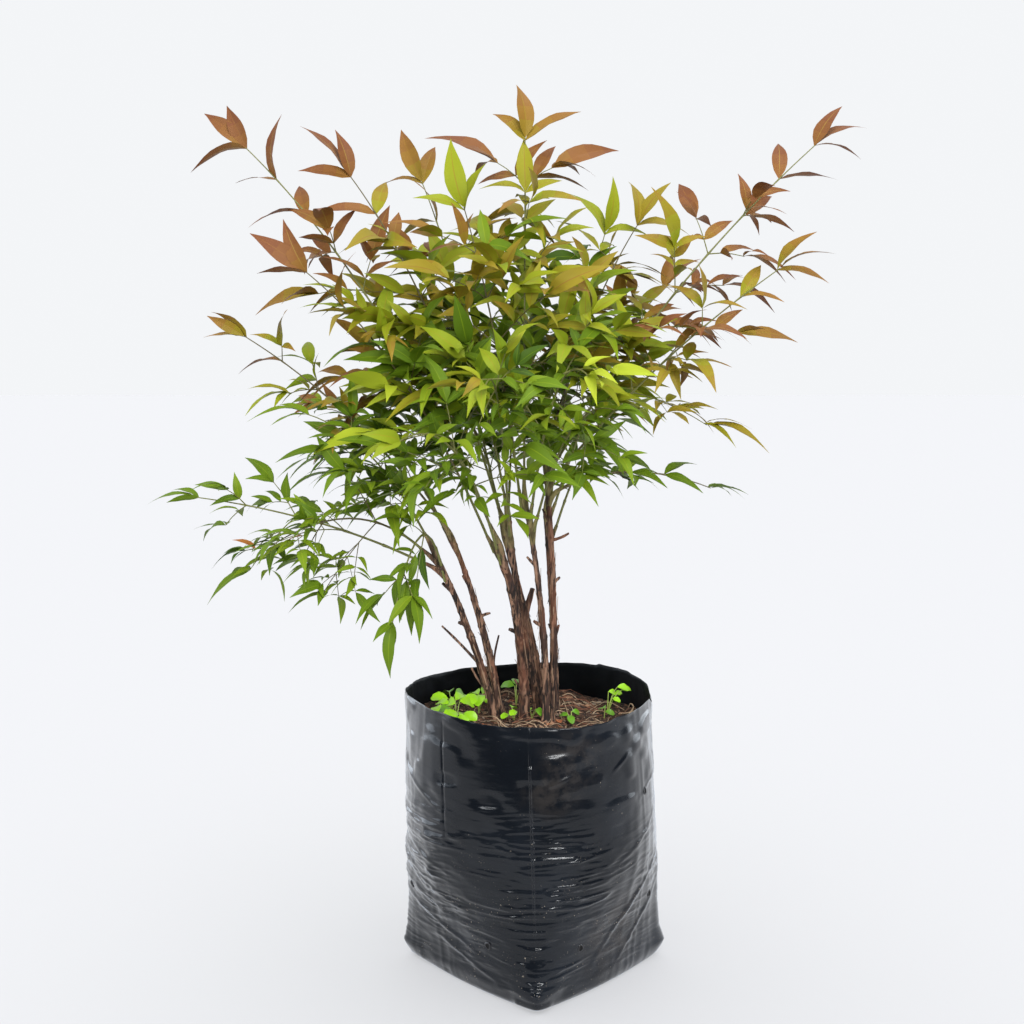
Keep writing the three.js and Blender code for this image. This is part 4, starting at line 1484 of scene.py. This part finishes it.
def film_material():
    """Glossy black film with a haze of dust, brown patches, and pale crumbs strewn over its lower half."""
    material, shader, _ = surface("black_film", 0.2, FILM_GRAIN, **FILM_GLOSS)
    tree = material.node_tree
    place = object_place(tree)
    dust = place_group(tree, DUST, Patch_Scale=13, Speck_Scale=520, Cover=0.32)
    hazy = blend_node(tree, dust["Haze"], FILM_COLORS["clean"], FILM_COLORS["haze"])
    mottled = between(tree, noise_node(tree, place, 90, 4), 0.35, 0.65)
    brown = math_node(tree, "MULTIPLY", dusty_patches(tree, place), mottled)
    brown = math_node(tree, "MULTIPLY", brown, 0.36)
    dusted = blend_node(tree, brown, hazy, FILM_COLORS["brown"])
    low = between(tree, axis_node(tree, place, "Z"), *CRUMBS_BELOW)
    crumbs = between(tree, noise_node(tree, place, 560, 3), 0.665, 0.71)
    strewn_at = between(tree, noise_node(tree, place, 38, 3), 0.48, 0.6)
    strewn = math_node(tree, "MULTIPLY", math_node(tree, "MULTIPLY", low, strewn_at), crumbs)
    specks = math_node(tree, "MAXIMUM", strewn, dust["Specks"])
    tree.links.new(blend_node(tree, specks, dusted, FILM_COLORS["crumbs"]), shader.inputs["Base Color"])
    rubbed = between(tree, noise_node(tree, place, 34, 4), 0.3, 0.75)
    smooth, worn, dull = (FILM_ROUGHNESS[part] for part in ("smooth", "worn", "dusty"))
    gloss = math_node(tree, "ADD", math_node(tree, "MULTIPLY", rubbed, worn), smooth)
    dusty = math_node(tree, "MULTIPLY", math_node(tree, "MAXIMUM", specks, brown), dull)
    tree.links.new(math_node(tree, "ADD", gloss, dusty), shader.inputs["Roughness"])
    slant = tree.nodes.new("ShaderNodeLayerWeight").outputs["Facing"]
    glancing = between(tree, slant, *FILM_COAT["slant"])
    coat = math_node(tree, "MULTIPLY", glancing, FILM_COAT["slanted"] - FILM_COAT["straight_on"])
    tree.links.new(math_node(tree, "ADD", coat, FILM_COAT["straight_on"]), shader.inputs["Coat Weight"])
    return material


# Drain holes, as (heading, height).
HOLES = [
    (-114, 52), (-66.5, 49), (-14, 72), (-27, 181), (-171, 78),
    (112, 58), (69, 57), (25, 70), (153, 72), (165, 176),
]
HOLE = {"radius": 2.6, "sides": 16, "ragged": 0.1, "tall": 1.15, "above_film": 0.25}
# A hole's rings from its lip inwards: each one's reach, how far it stands out, and whether it is dark
# inside it. The dark inner rings close the hole with painted shade.
HOLE_RINGS = [(1.35, -0.5, 0), (1.2, 0.3, 0), (1.0, 0.45, 0), (0.86, 0.2, 1), (0.8, 0.05, 1), (0.05, 0.0, 1)]


def drain_holes():
    """Punched holes with a stretched lip, each closed inside by a dark disc of painted shade."""
    piece = Piece()
    turns = full_turn(HOLE["sides"])
    tints = np.repeat([dark for _, _, dark in HOLE_RINGS[:-1]], HOLE["sides"])
    for angle, z in HOLES:
        east = unit(bag_point(angle + 2, z) - bag_point(angle - 2, z))
        north = unit(bag_point(angle, z + 4) - bag_point(angle, z - 4))
        out = unit(np.cross(east, north))
        lip = circle(turns, east, north * HOLE["tall"])
        ragged = HOLE["radius"] * (1 + HOLE["ragged"] * np.sin(3 * turns + angle))
        rings = [
            bag_point(angle, z) + lip * (reach * ragged)[:, None] + out * (rise + HOLE["above_film"])
            for reach, rise, _ in HOLE_RINGS
        ]
        piece.add(np.concatenate(rings), grid_faces(len(rings), HOLE["sides"], True), tints)
    lip = surface("hole_lip", 0.3, color=(0.02, 0.02, 0.024))[0]
    # painted shade for the inside of each hole
    dark = surface("hole_shade", 0.9, color=(0.002, 0.002, 0.002))[0]
    return piece.build("drain_holes", [lip, dark], "film")


# ---------------------------------------------------------------- growing medium, litter and seedlings


SOIL = {"around": 200, "rings": 62, "lift": 1.5, "inside_film": 1.1, "skirt": 12}
# The heaps of the growing medium: their width, height and seed.
SOIL_HEAPS = [(30, 4.2, 41), (9, 2.0, 42), (3.2, 0.9, 43)]
SOIL_GRAIN = {"Stretch": (1, 1, 1), "Scale": 420, "Detail": 6, "Depth": 0.0022, "Strength": 0.9}
SOIL_COLORS = {"dark": (0.011, 0.0065, 0.005), "brown": (0.14, 0.07, 0.044), "pale": (0.42, 0.27, 0.17)}


def soil_height(x, y):
    heaps = sum(height * lumps(x / width, y / width, 0, seed) for width, height, seed in SOIL_HEAPS)
    return SOIL_TOP + SOIL["lift"] + heaps


def soil_surface():
    """The lumpy top of the growing medium, with a skirt that goes down inside the film."""
    piece = Piece()
    angles = np.linspace(-180, 180, SOIL["around"], endpoint=False)
    radius = bag_radius(angles, SOIL_TOP) + film_relief(angles, SOIL_TOP) - SOIL["inside_film"]
    rows = []
    for share in np.linspace(0.004, 1, SOIL["rings"]):
        x, y = level_place(angles, radius * share)
        x = x + lean_at(SOIL_TOP)
        rows.append(np.stack([x, y, soil_height(x, y)], axis=-1))
    rows.append(rows[-1] - UP * SOIL["skirt"])
    piece.add(np.concatenate(rows), grid_faces(len(rows), SOIL["around"], True)[:, ::-1])
    return piece.build("growing_medium_surface", [soil_material()], "growing_medium", ["growing_medium"])


def soil_material():
    material, shader, _ = surface("bark_mix", 0.92, SOIL_GRAIN)
    tree = material.node_tree
    place = object_place(tree)
    chips = between(tree, noise_node(tree, place, 240, 5, 0.7), 0.4, 0.62)
    brown = blend_node(tree, chips, SOIL_COLORS["dark"], SOIL_COLORS["brown"])
    pale = between(tree, noise_node(tree, place, 520, 3), 0.62, 0.7)
    tree.links.new(blend_node(tree, pale, brown, SOIL_COLORS["pale"]), shader.inputs["Base Color"])
    return material


def soil_spot(limit):
    """A random spot on the growing medium."""
    angle = chance.uniform(-180, 180)
    x, y = level_place(angle, limit * math.sqrt(chance.random()))
    x = x + lean_at(SOIL_TOP)
    return np.array([x, y, soil_height(x, y)])


CHIPS = {
    "count": 1700,
    "length": (1.8, 13),
    "mostly_short": 2.4,
    "breadth": (0.25, 0.6),
    "thickness": (0.12, 0.3),
    "thinnest": 0.5,
    "rise": (-24, 24),
    "within": 107,
}
# A chip's cross sections along it, and the corners of each.
CHIP_SECTIONS = (-0.5, -0.32, 0.05, 0.36, 0.5)
CHIP_CORNERS = [(-1, -0.4), (-0.5, 0.9), (0.55, 0.8), (1, -0.3), (0.1, -1)]
CHIP_GRAIN = {"Stretch": (1, 1, 1), "Scale": 700, "Detail": 3, "Depth": 0.0006, "Strength": 0.8}
CHIP_TINTS = {
    "chip_dark": (0.022, 0.012, 0.009),
    "chip_brown": (0.09, 0.043, 0.027),
    "chip_red": (0.2, 0.08, 0.045),
    "chip_tan": (0.42, 0.235, 0.14),
    "chip_orange": (0.45, 0.15, 0.06),
    "chip_grey": (0.34, 0.27, 0.21),
}
CHIP_SHARES = (0.34, 0.24, 0.14, 0.17, 0.02, 0.09)


def bark_chips():
    """Broken flakes of bark that lie on the growing medium at all angles."""
    piece = Piece()
    for _ in range(CHIPS["count"]):
        length = mix(*CHIPS["length"], chance.random() ** CHIPS["mostly_short"])
        spot = soil_spot(CHIPS["within"] - length / 2)
        breadth = length * chance.uniform(*CHIPS["breadth"])
        thick = max(CHIPS["thinnest"], breadth * chance.uniform(*CHIPS["thickness"]))
        forward = bearing(chance.uniform(0, 360), chance.uniform(*CHIPS["rise"]))
        side = unit(np.cross(UP + chance.uniform(-0.5, 0.5, 3), forward))
        out = np.cross(forward, side)
        rings = []
        for at in CHIP_SECTIONS:
            taper = (1 - abs(2 * at) ** 3) * 0.85 + 0.15
            wide = breadth / 2 * taper * chance.uniform(0.75, 1.2)
            high = thick / 2 * (0.5 + 0.5 * taper)
            middle = spot + forward * at * length + side * chance.uniform(-0.12, 0.12) * breadth
            rings.append(np.array([middle + side * wide * a + out * high * b for a, b in CHIP_CORNERS]))
        tint = int(chance.choice(len(CHIP_TINTS), p=CHIP_SHARES))
        corners = list(range(len(CHIP_CORNERS)))
        piece.add(np.concatenate(rings), grid_faces(len(rings), len(corners), True), tint)
        piece.add(rings[0], [corners[::-1]], tint)
        piece.add(rings[-1], [corners], tint)
    chips = piece.build("bark_chips", tinted(CHIP_TINTS, 0.85, CHIP_GRAIN), "growing_medium")
    chips.data.shade_flat()


ROOTLETS = {
    "count": 210,
    "length": (14, 60),
    "bend": (-60, 60),
    "arch": (0.0, 0.16),
    "radius": (0.25, 0.7),
    "points": 10,
    "sides": 5,
    "starts_within": 98,
    "within": 101,
}
ROOTLET_TINTS = {
    "rootlet_tan": (0.52, 0.38, 0.25),
    "rootlet_brown": (0.13, 0.066, 0.04),
    "rootlet_red": (0.21, 0.085, 0.05),
}
ROOTLET_ORDER = (0, 1, 0, 2, 0)  # the tints, dealt out in turn


def rootlets():
    """Dead rootlets, leaf stalks and twigs that lie and arch over the growing medium."""
    piece = Piece()
    for number in range(ROOTLETS["count"]):
        spot = soil_spot(ROOTLETS["starts_within"])
        length = chance.uniform(*ROOTLETS["length"])
        heading = chance.uniform(0, 360)
        bend = chance.uniform(*ROOTLETS["bend"])
        arch = chance.uniform(*ROOTLETS["arch"]) * length
        radius = chance.uniform(*ROOTLETS["radius"])
        centres = []
        for step in np.linspace(0, 1, ROOTLETS["points"]):
            spot = spot + bearing(heading + bend * step, 0) * length / ROOTLETS["points"]
            spot[:2] *= min(1, ROOTLETS["within"] / math.hypot(spot[0], spot[1]))
            height = soil_height(spot[0], spot[1]) + radius * 0.6 + arch * math.sin(math.pi * step)
            centres.append(np.array([spot[0], spot[1], height]))
        radii = radius * np.linspace(1, 0.5, ROOTLETS["points"])
        tube(piece, centres, radii, ROOTLETS["sides"], ROOTLET_ORDER[number % len(ROOTLET_ORDER)])
    piece.build("rootlets", tinted(ROOTLET_TINTS, 0.8), "growing_medium")


# Seedlings among the litter: the foot, the tint, and each leaf's place, height over the litter and length.
SEEDLINGS = [
    ((-80, 20), 0, [
        (-83, 40, 20, 12), (-89, 13, 19, 13), (-72, 24, 23, 12), (-66, 38, 18, 11), (-92, 28, 17, 11),
    ]),
    ((-74, -14), 0, [
        (-79, -12, 21, 14), (-72, 7, 22, 13), (-65, -4, 19, 13), (-76, -36, 18, 13), (-62, -22, 16, 11),
    ]),
    ((-76, -26), 0, [(-70, -34, 14, 12), (-84, -22, 18, 12), (-68, -18, 15, 11), (-86, -8, 20, 12)]),
    ((-86, -38), 0, [(-95, -50, 21, 13), (-84, -52, 17, 12), (-91, -32, 20, 11)]),
    ((-54, 26), 0, [
        (-57, 36, 21, 12), (-49, 49, 17, 11), (-52, 13, 19, 13), (-58, 7, 21, 13), (-44, 30, 13, 10),
    ]),
    ((-18, 60), 2, [(-25, 66, 17, 11), (-18, 70, 19, 11), (-11, 66, 17, 11)]),
    ((-20, 14), 0, [(-21, 20, 10, 8), (-20, 3, 10, 8), (-28, 10, 8, 7)]),
    ((-3, 14), 0, [(-6, 20, 10, 8), (3, 3, 10, 8), (4, 16, 8, 7)]),
    ((34, 10), 2, [(33, 4, 8, 8), (38, 14, 9, 7), (28, 12, 7, 7)]),
    ((66, 18), 2, [(65, 22, 9, 9), (70, 14, 7, 7)]),
    ((70, 30), 0, [(74, 30, 22, 7), (83, 28, 25, 8), (87, 31, 22, 8), (80, 36, 18, 6), (77, 26, 15, 6)]),
]


SEEDLING = {
    "leaf": {"breadth": 0.72, "outline": (0.85, 0.5), "tip_fall": 0.04},
    "leaf_length": 1.25,
    "stem": (0.6, 0.4),
    "stem_points": 7,
    "stem_sides": 5,
    "deep_share": 0.2,
}
SEEDLING_TINTS = {
    "seedling_green": (0.3, 0.62, 0.012),
    "seedling_stem": (0.34, 0.45, 0.1),
    "seedling_deep": (0.13, 0.33, 0.015),
}


def seedlings():
    """Small round-leaved seedlings, each a tuft of stems with a leaf at the end."""
    piece = Piece()
    green, stem, deep = range(len(SEEDLING_TINTS))
    shares = np.linspace(0, 1, SEEDLING["stem_points"])
    for (x, y), tint, leaves in SEEDLINGS:
        foot = np.array([x, y, soil_height(x, y) - 1])
        for number, (leaf_x, leaf_y, rise, size) in enumerate(leaves):
            heading = math.degrees(math.atan2(leaf_y - y, leaf_x - x)) + chance.uniform(-35, 35)
            away = bearing(heading, 0)
            top = np.array([leaf_x, leaf_y, soil_height(leaf_x, leaf_y) + rise]) - away * size / 2
            curve = Curve(foot, mix(foot, top, 0.35) + UP * rise * 0.5, top)
            points = [curve.at(share) for share in shares]
            tube(piece, points, mix(*SEEDLING["stem"], shares), SEEDLING["stem_sides"], stem)
            direction = unit(away + UP * chance.uniform(-0.2, 0.3))
            normal = UP + FRONT * chance.uniform(0.4, 1.1) + chance.uniform(-0.2, 0.2, 3)
            blade = Piece()
            leaflet_sheet(
                blade, top, direction, across_from(normal, direction), SEEDLING["leaf_length"] * size,
                x + number * 3.1, SHADES, SEEDLING["leaf"], ROUND_SHEET,
            )
            own = deep if tint == green and chance.random() < SEEDLING["deep_share"] else tint
            piece.add(np.concatenate(blade.vertices), blade.faces, own)
    piece.build("seedlings", tinted(SEEDLING_TINTS, 0.4, LEAF_GRAIN), "foliage_low")


# ---------------------------------------------------------------- stage, light and camera

# The room's brightness by direction, from front to back and up to the ceiling, and as the backdrop seen.
ROOM = {
    "color": (0.94, 0.955, 0.975, 1),
    "behind": (-0.25, 0.4),
    "ceiling": (0.35, 0.85),
    "dark": 0.06,
    "bright": 0.9,
    "seen": 0.958,
}
CAMERA = {"place": (-0.022, -1.276, 0.613), "looks_down": 8.18, "lens": 49.2, "sees": (0.05, 40)}
FLOOR = {"side": 9, "front": -0.6, "back": 9, "color": (0.6, 0.603, 0.618)}

# Each lamp: its place, the point that it faces, its width and height or a sun's breadth, power and colour.
LAMPS = {
    "front_softbox": ((0.3, -1.7, 1.5), (0, 0, 0.45), (1.3, 0.9), 27, (1, 0.985, 0.95)),
    "left_softbox": ((-1.5, -1.3, 0.9), (0, 0, 0.45), (1.0, 1.0), 15, (0.98, 0.985, 1)),
    "streak_softbox": ((0.8, -1.5, 0.75), (0, 0, 0.12), (0.9, 0.16), 14, (0.97, 0.985, 1)),
    "left_streak_softbox": ((-1.2, -1.4, 0.7), (0, 0, 0.12), (0.5, 0.16), 4, (0.93, 0.965, 1)),
    "left_rim_softbox": ((-1.4, 0.45, 0.5), (-0.1, 0, 0.13), (1.6, 1.6), 20, (0.8, 0.89, 1)),
    "right_rim_softbox": ((1.5, 0.7, 0.5), (0.1, 0, 0.13), (1.3, 1.6), 15, (0.84, 0.92, 1)),
    "top_softbox": ((0.3, -0.3, 2.2), (0, 0, 0.3), (0.9, 0.6), 10, (1, 1, 1)),
    "floor_sun": ((0, 0, 4), (0, 0, 0), (1.0,), 2.6, (1, 1, 1)),
}
# What each lamp lights, for those that don't light everything.
LIT_BY = {
    "front_softbox": "plant",
    "left_softbox": "plant",
    "streak_softbox": "all_but_floor",
    "left_streak_softbox": "all_but_floor",
    "top_softbox": "all_but_floor",
    "left_rim_softbox": "film",
    "right_rim_softbox": "film",
    "floor_sun": "floor",
}


def in_scene(name, data):
    thing = bpy.data.objects.new(name, data)
    bpy.context.scene.collection.objects.link(thing)
    return thing


def pale_floor():
    """A wide pale floor that ends before the camera."""
    side, front, back = FLOOR["side"], FLOOR["front"], FLOOR["back"]
    mesh = bpy.data.meshes.new("floor")
    corners = [(-side, front, 0), (side, front, 0), (side, back, 0), (-side, back, 0)]
    mesh.from_pydata(corners, [], [(0, 1, 2, 3)])
    mesh.materials.append(surface("pale_floor", 0.7, color=FLOOR["color"], Specular_IOR_Level=0)[0])
    floor = in_scene("floor", mesh)
    return floor


def pale_room():
    """A room that is dark only in front of the bag, with a plain backdrop."""
    world = bpy.data.worlds.new("pale_room")
    world.use_nodes = True
    tree = world.node_tree
    sky = tree.nodes["Background"]
    sky.inputs["Color"].default_value = ROOM["color"]
    toward = tree.nodes.new("ShaderNodeTexCoord").outputs["Generated"]
    behind = between(tree, axis_node(tree, toward, "Y"), *ROOM["behind"])
    above = between(tree, axis_node(tree, toward, "Z"), *ROOM["ceiling"])
    lit_side = math_node(tree, "MAXIMUM", behind, above)
    brighter = math_node(tree, "MULTIPLY", lit_side, ROOM["bright"] - ROOM["dark"])
    light = math_node(tree, "ADD", brighter, ROOM["dark"])
    seen = tree.nodes.new("ShaderNodeLightPath").outputs["Is Camera Ray"]
    plain = math_node(tree, "MULTIPLY", seen, ROOM["seen"])
    lit = math_node(tree, "MULTIPLY", math_node(tree, "SUBTRACT", 1.0, seen), light)
    tree.links.new(math_node(tree, "ADD", plain, lit), sky.inputs["Strength"])
    bpy.context.scene.world = world


def lights():
    lamps = {}
    for name, (place, target, size, power, color) in LAMPS.items():
        if len(size) == 1:
            light = bpy.data.lights.new(name, "SUN")
            light.angle = size[0]
            light.use_shadow = False
        else:
            light = bpy.data.lights.new(name, "AREA")
            light.shape = "RECTANGLE"
            light.size, light.size_y = size
        light.energy = power
        light.color = color
        lamps[name] = in_scene(name, light)
        lamps[name].location = place
        lamps[name].rotation_euler = aim(place, target)
    return lamps


def link_lights(lamps, floor, film_pieces):
    """Keeps the floor plain, and the film free of the plant's broad lamps."""
    listed = {"plant": [floor, *film_pieces], "all_but_floor": [floor], "floor": [floor], "film": film_pieces}
    for name, lit in LIT_BY.items():
        collection = bpy.data.collections.new("linked_to_" + name)
        for piece in listed[lit]:
            collection.objects.link(piece)
        for member in collection.collection_objects:
            member.light_linking.link_state = "INCLUDE" if lit in ("floor", "film") else "EXCLUDE"
        lamps[name].light_linking.receiver_collection = collection


def aim(place, target):
    """The rotation that turns a lamp at place to face target."""
    forward = unit(np.array(target, float) - np.array(place, float))
    return (math.acos(-forward[2]), 0, -math.atan2(forward[0], forward[1]))


def camera():
    lens = bpy.data.cameras.new("camera")
    lens.sensor_width = 36
    lens.lens = CAMERA["lens"]
    lens.clip_start, lens.clip_end = CAMERA["sees"]
    eye = in_scene("camera", lens)
    eye.location = CAMERA["place"]
    eye.rotation_euler = (math.radians(90 - CAMERA["looks_down"]), 0, 0)
    bpy.context.scene.camera = eye
    bpy.context.scene.view_settings.view_transform = "Standard"


# ---------------------------------------------------------------- the whole plant


def plant():
    """Grows every compound leaf by the source's rule, stalks first, then the sprays."""
    crowns = {level: Crown() for level in FOLIAGE_FROM}
    boughs = Piece()
    sheaths = Piece()
    bough_nodes = []
    leaves = []
    for cane_name, on_cane in LEAVES.items():
        cane = CANES[cane_name]
        for order, (name, values) in enumerate(on_cane.items()):
            leaf = dict(zip(LEAF_FIELDS, values), order=order)
            leaf["curve"] = stalk_curve(leaf, cane, order)
            tip_height = leaf["curve"].at(1)[2]
            crown = crowns[[level for level, low in FOLIAGE_FROM.items() if tip_height >= low][-1]]
            crown.nodes.append("foliage_" + name)
            if order:
                bough_nodes.append("bough_" + name)
            sheath(sheaths, cane, leaf)
            leaves.append((crown, leaf))
    for number, (crown, leaf) in enumerate(leaves):
        crown.stalk_tint = number % 3 % len(STALK_TINTS)
        grow_leaf(crown, boughs, leaf, number + 1)
    stalk_tints = tinted(STALK_TINTS, 0.45, STALK_GRAIN)
    leaf_names = {"leaf_" + name: color for name, color in LEAF_TINTS.items()}
    leaf_tints = tinted(leaf_names, 0.48, LEAF_GRAIN, Specular_IOR_Level=0.14)
    boughs.build("boughs", stalk_tints, "green_stalk", bough_nodes)
    sheaths.build("stalk_sheaths", [BARKS["young"]], "green_stalk")
    for level, crown in crowns.items():
        slot = "foliage_" + level
        crown.stalks.build("leaf_stalks_" + level, stalk_tints, slot, crown.nodes)
        crown_leaflets(crown.leaflets).build("leaflets_" + level, leaf_tints, slot, crown.nodes)


camera()
pale_room()
link_lights(lights(), pale_floor(), [film_bag(), drain_holes()])
BARKS = {"young": bark_material("young_bark", 0.405), "old": bark_material("fissured_bark", 0.47)}
for number, (name, cane) in enumerate(CANES.items()):
    cane["curve"] = cane_curve(cane)
    cane_bark(name, cane, number + 1)
bark_strips()
soil_surface()
bark_chips()
rootlets()
seedlings()
plant()
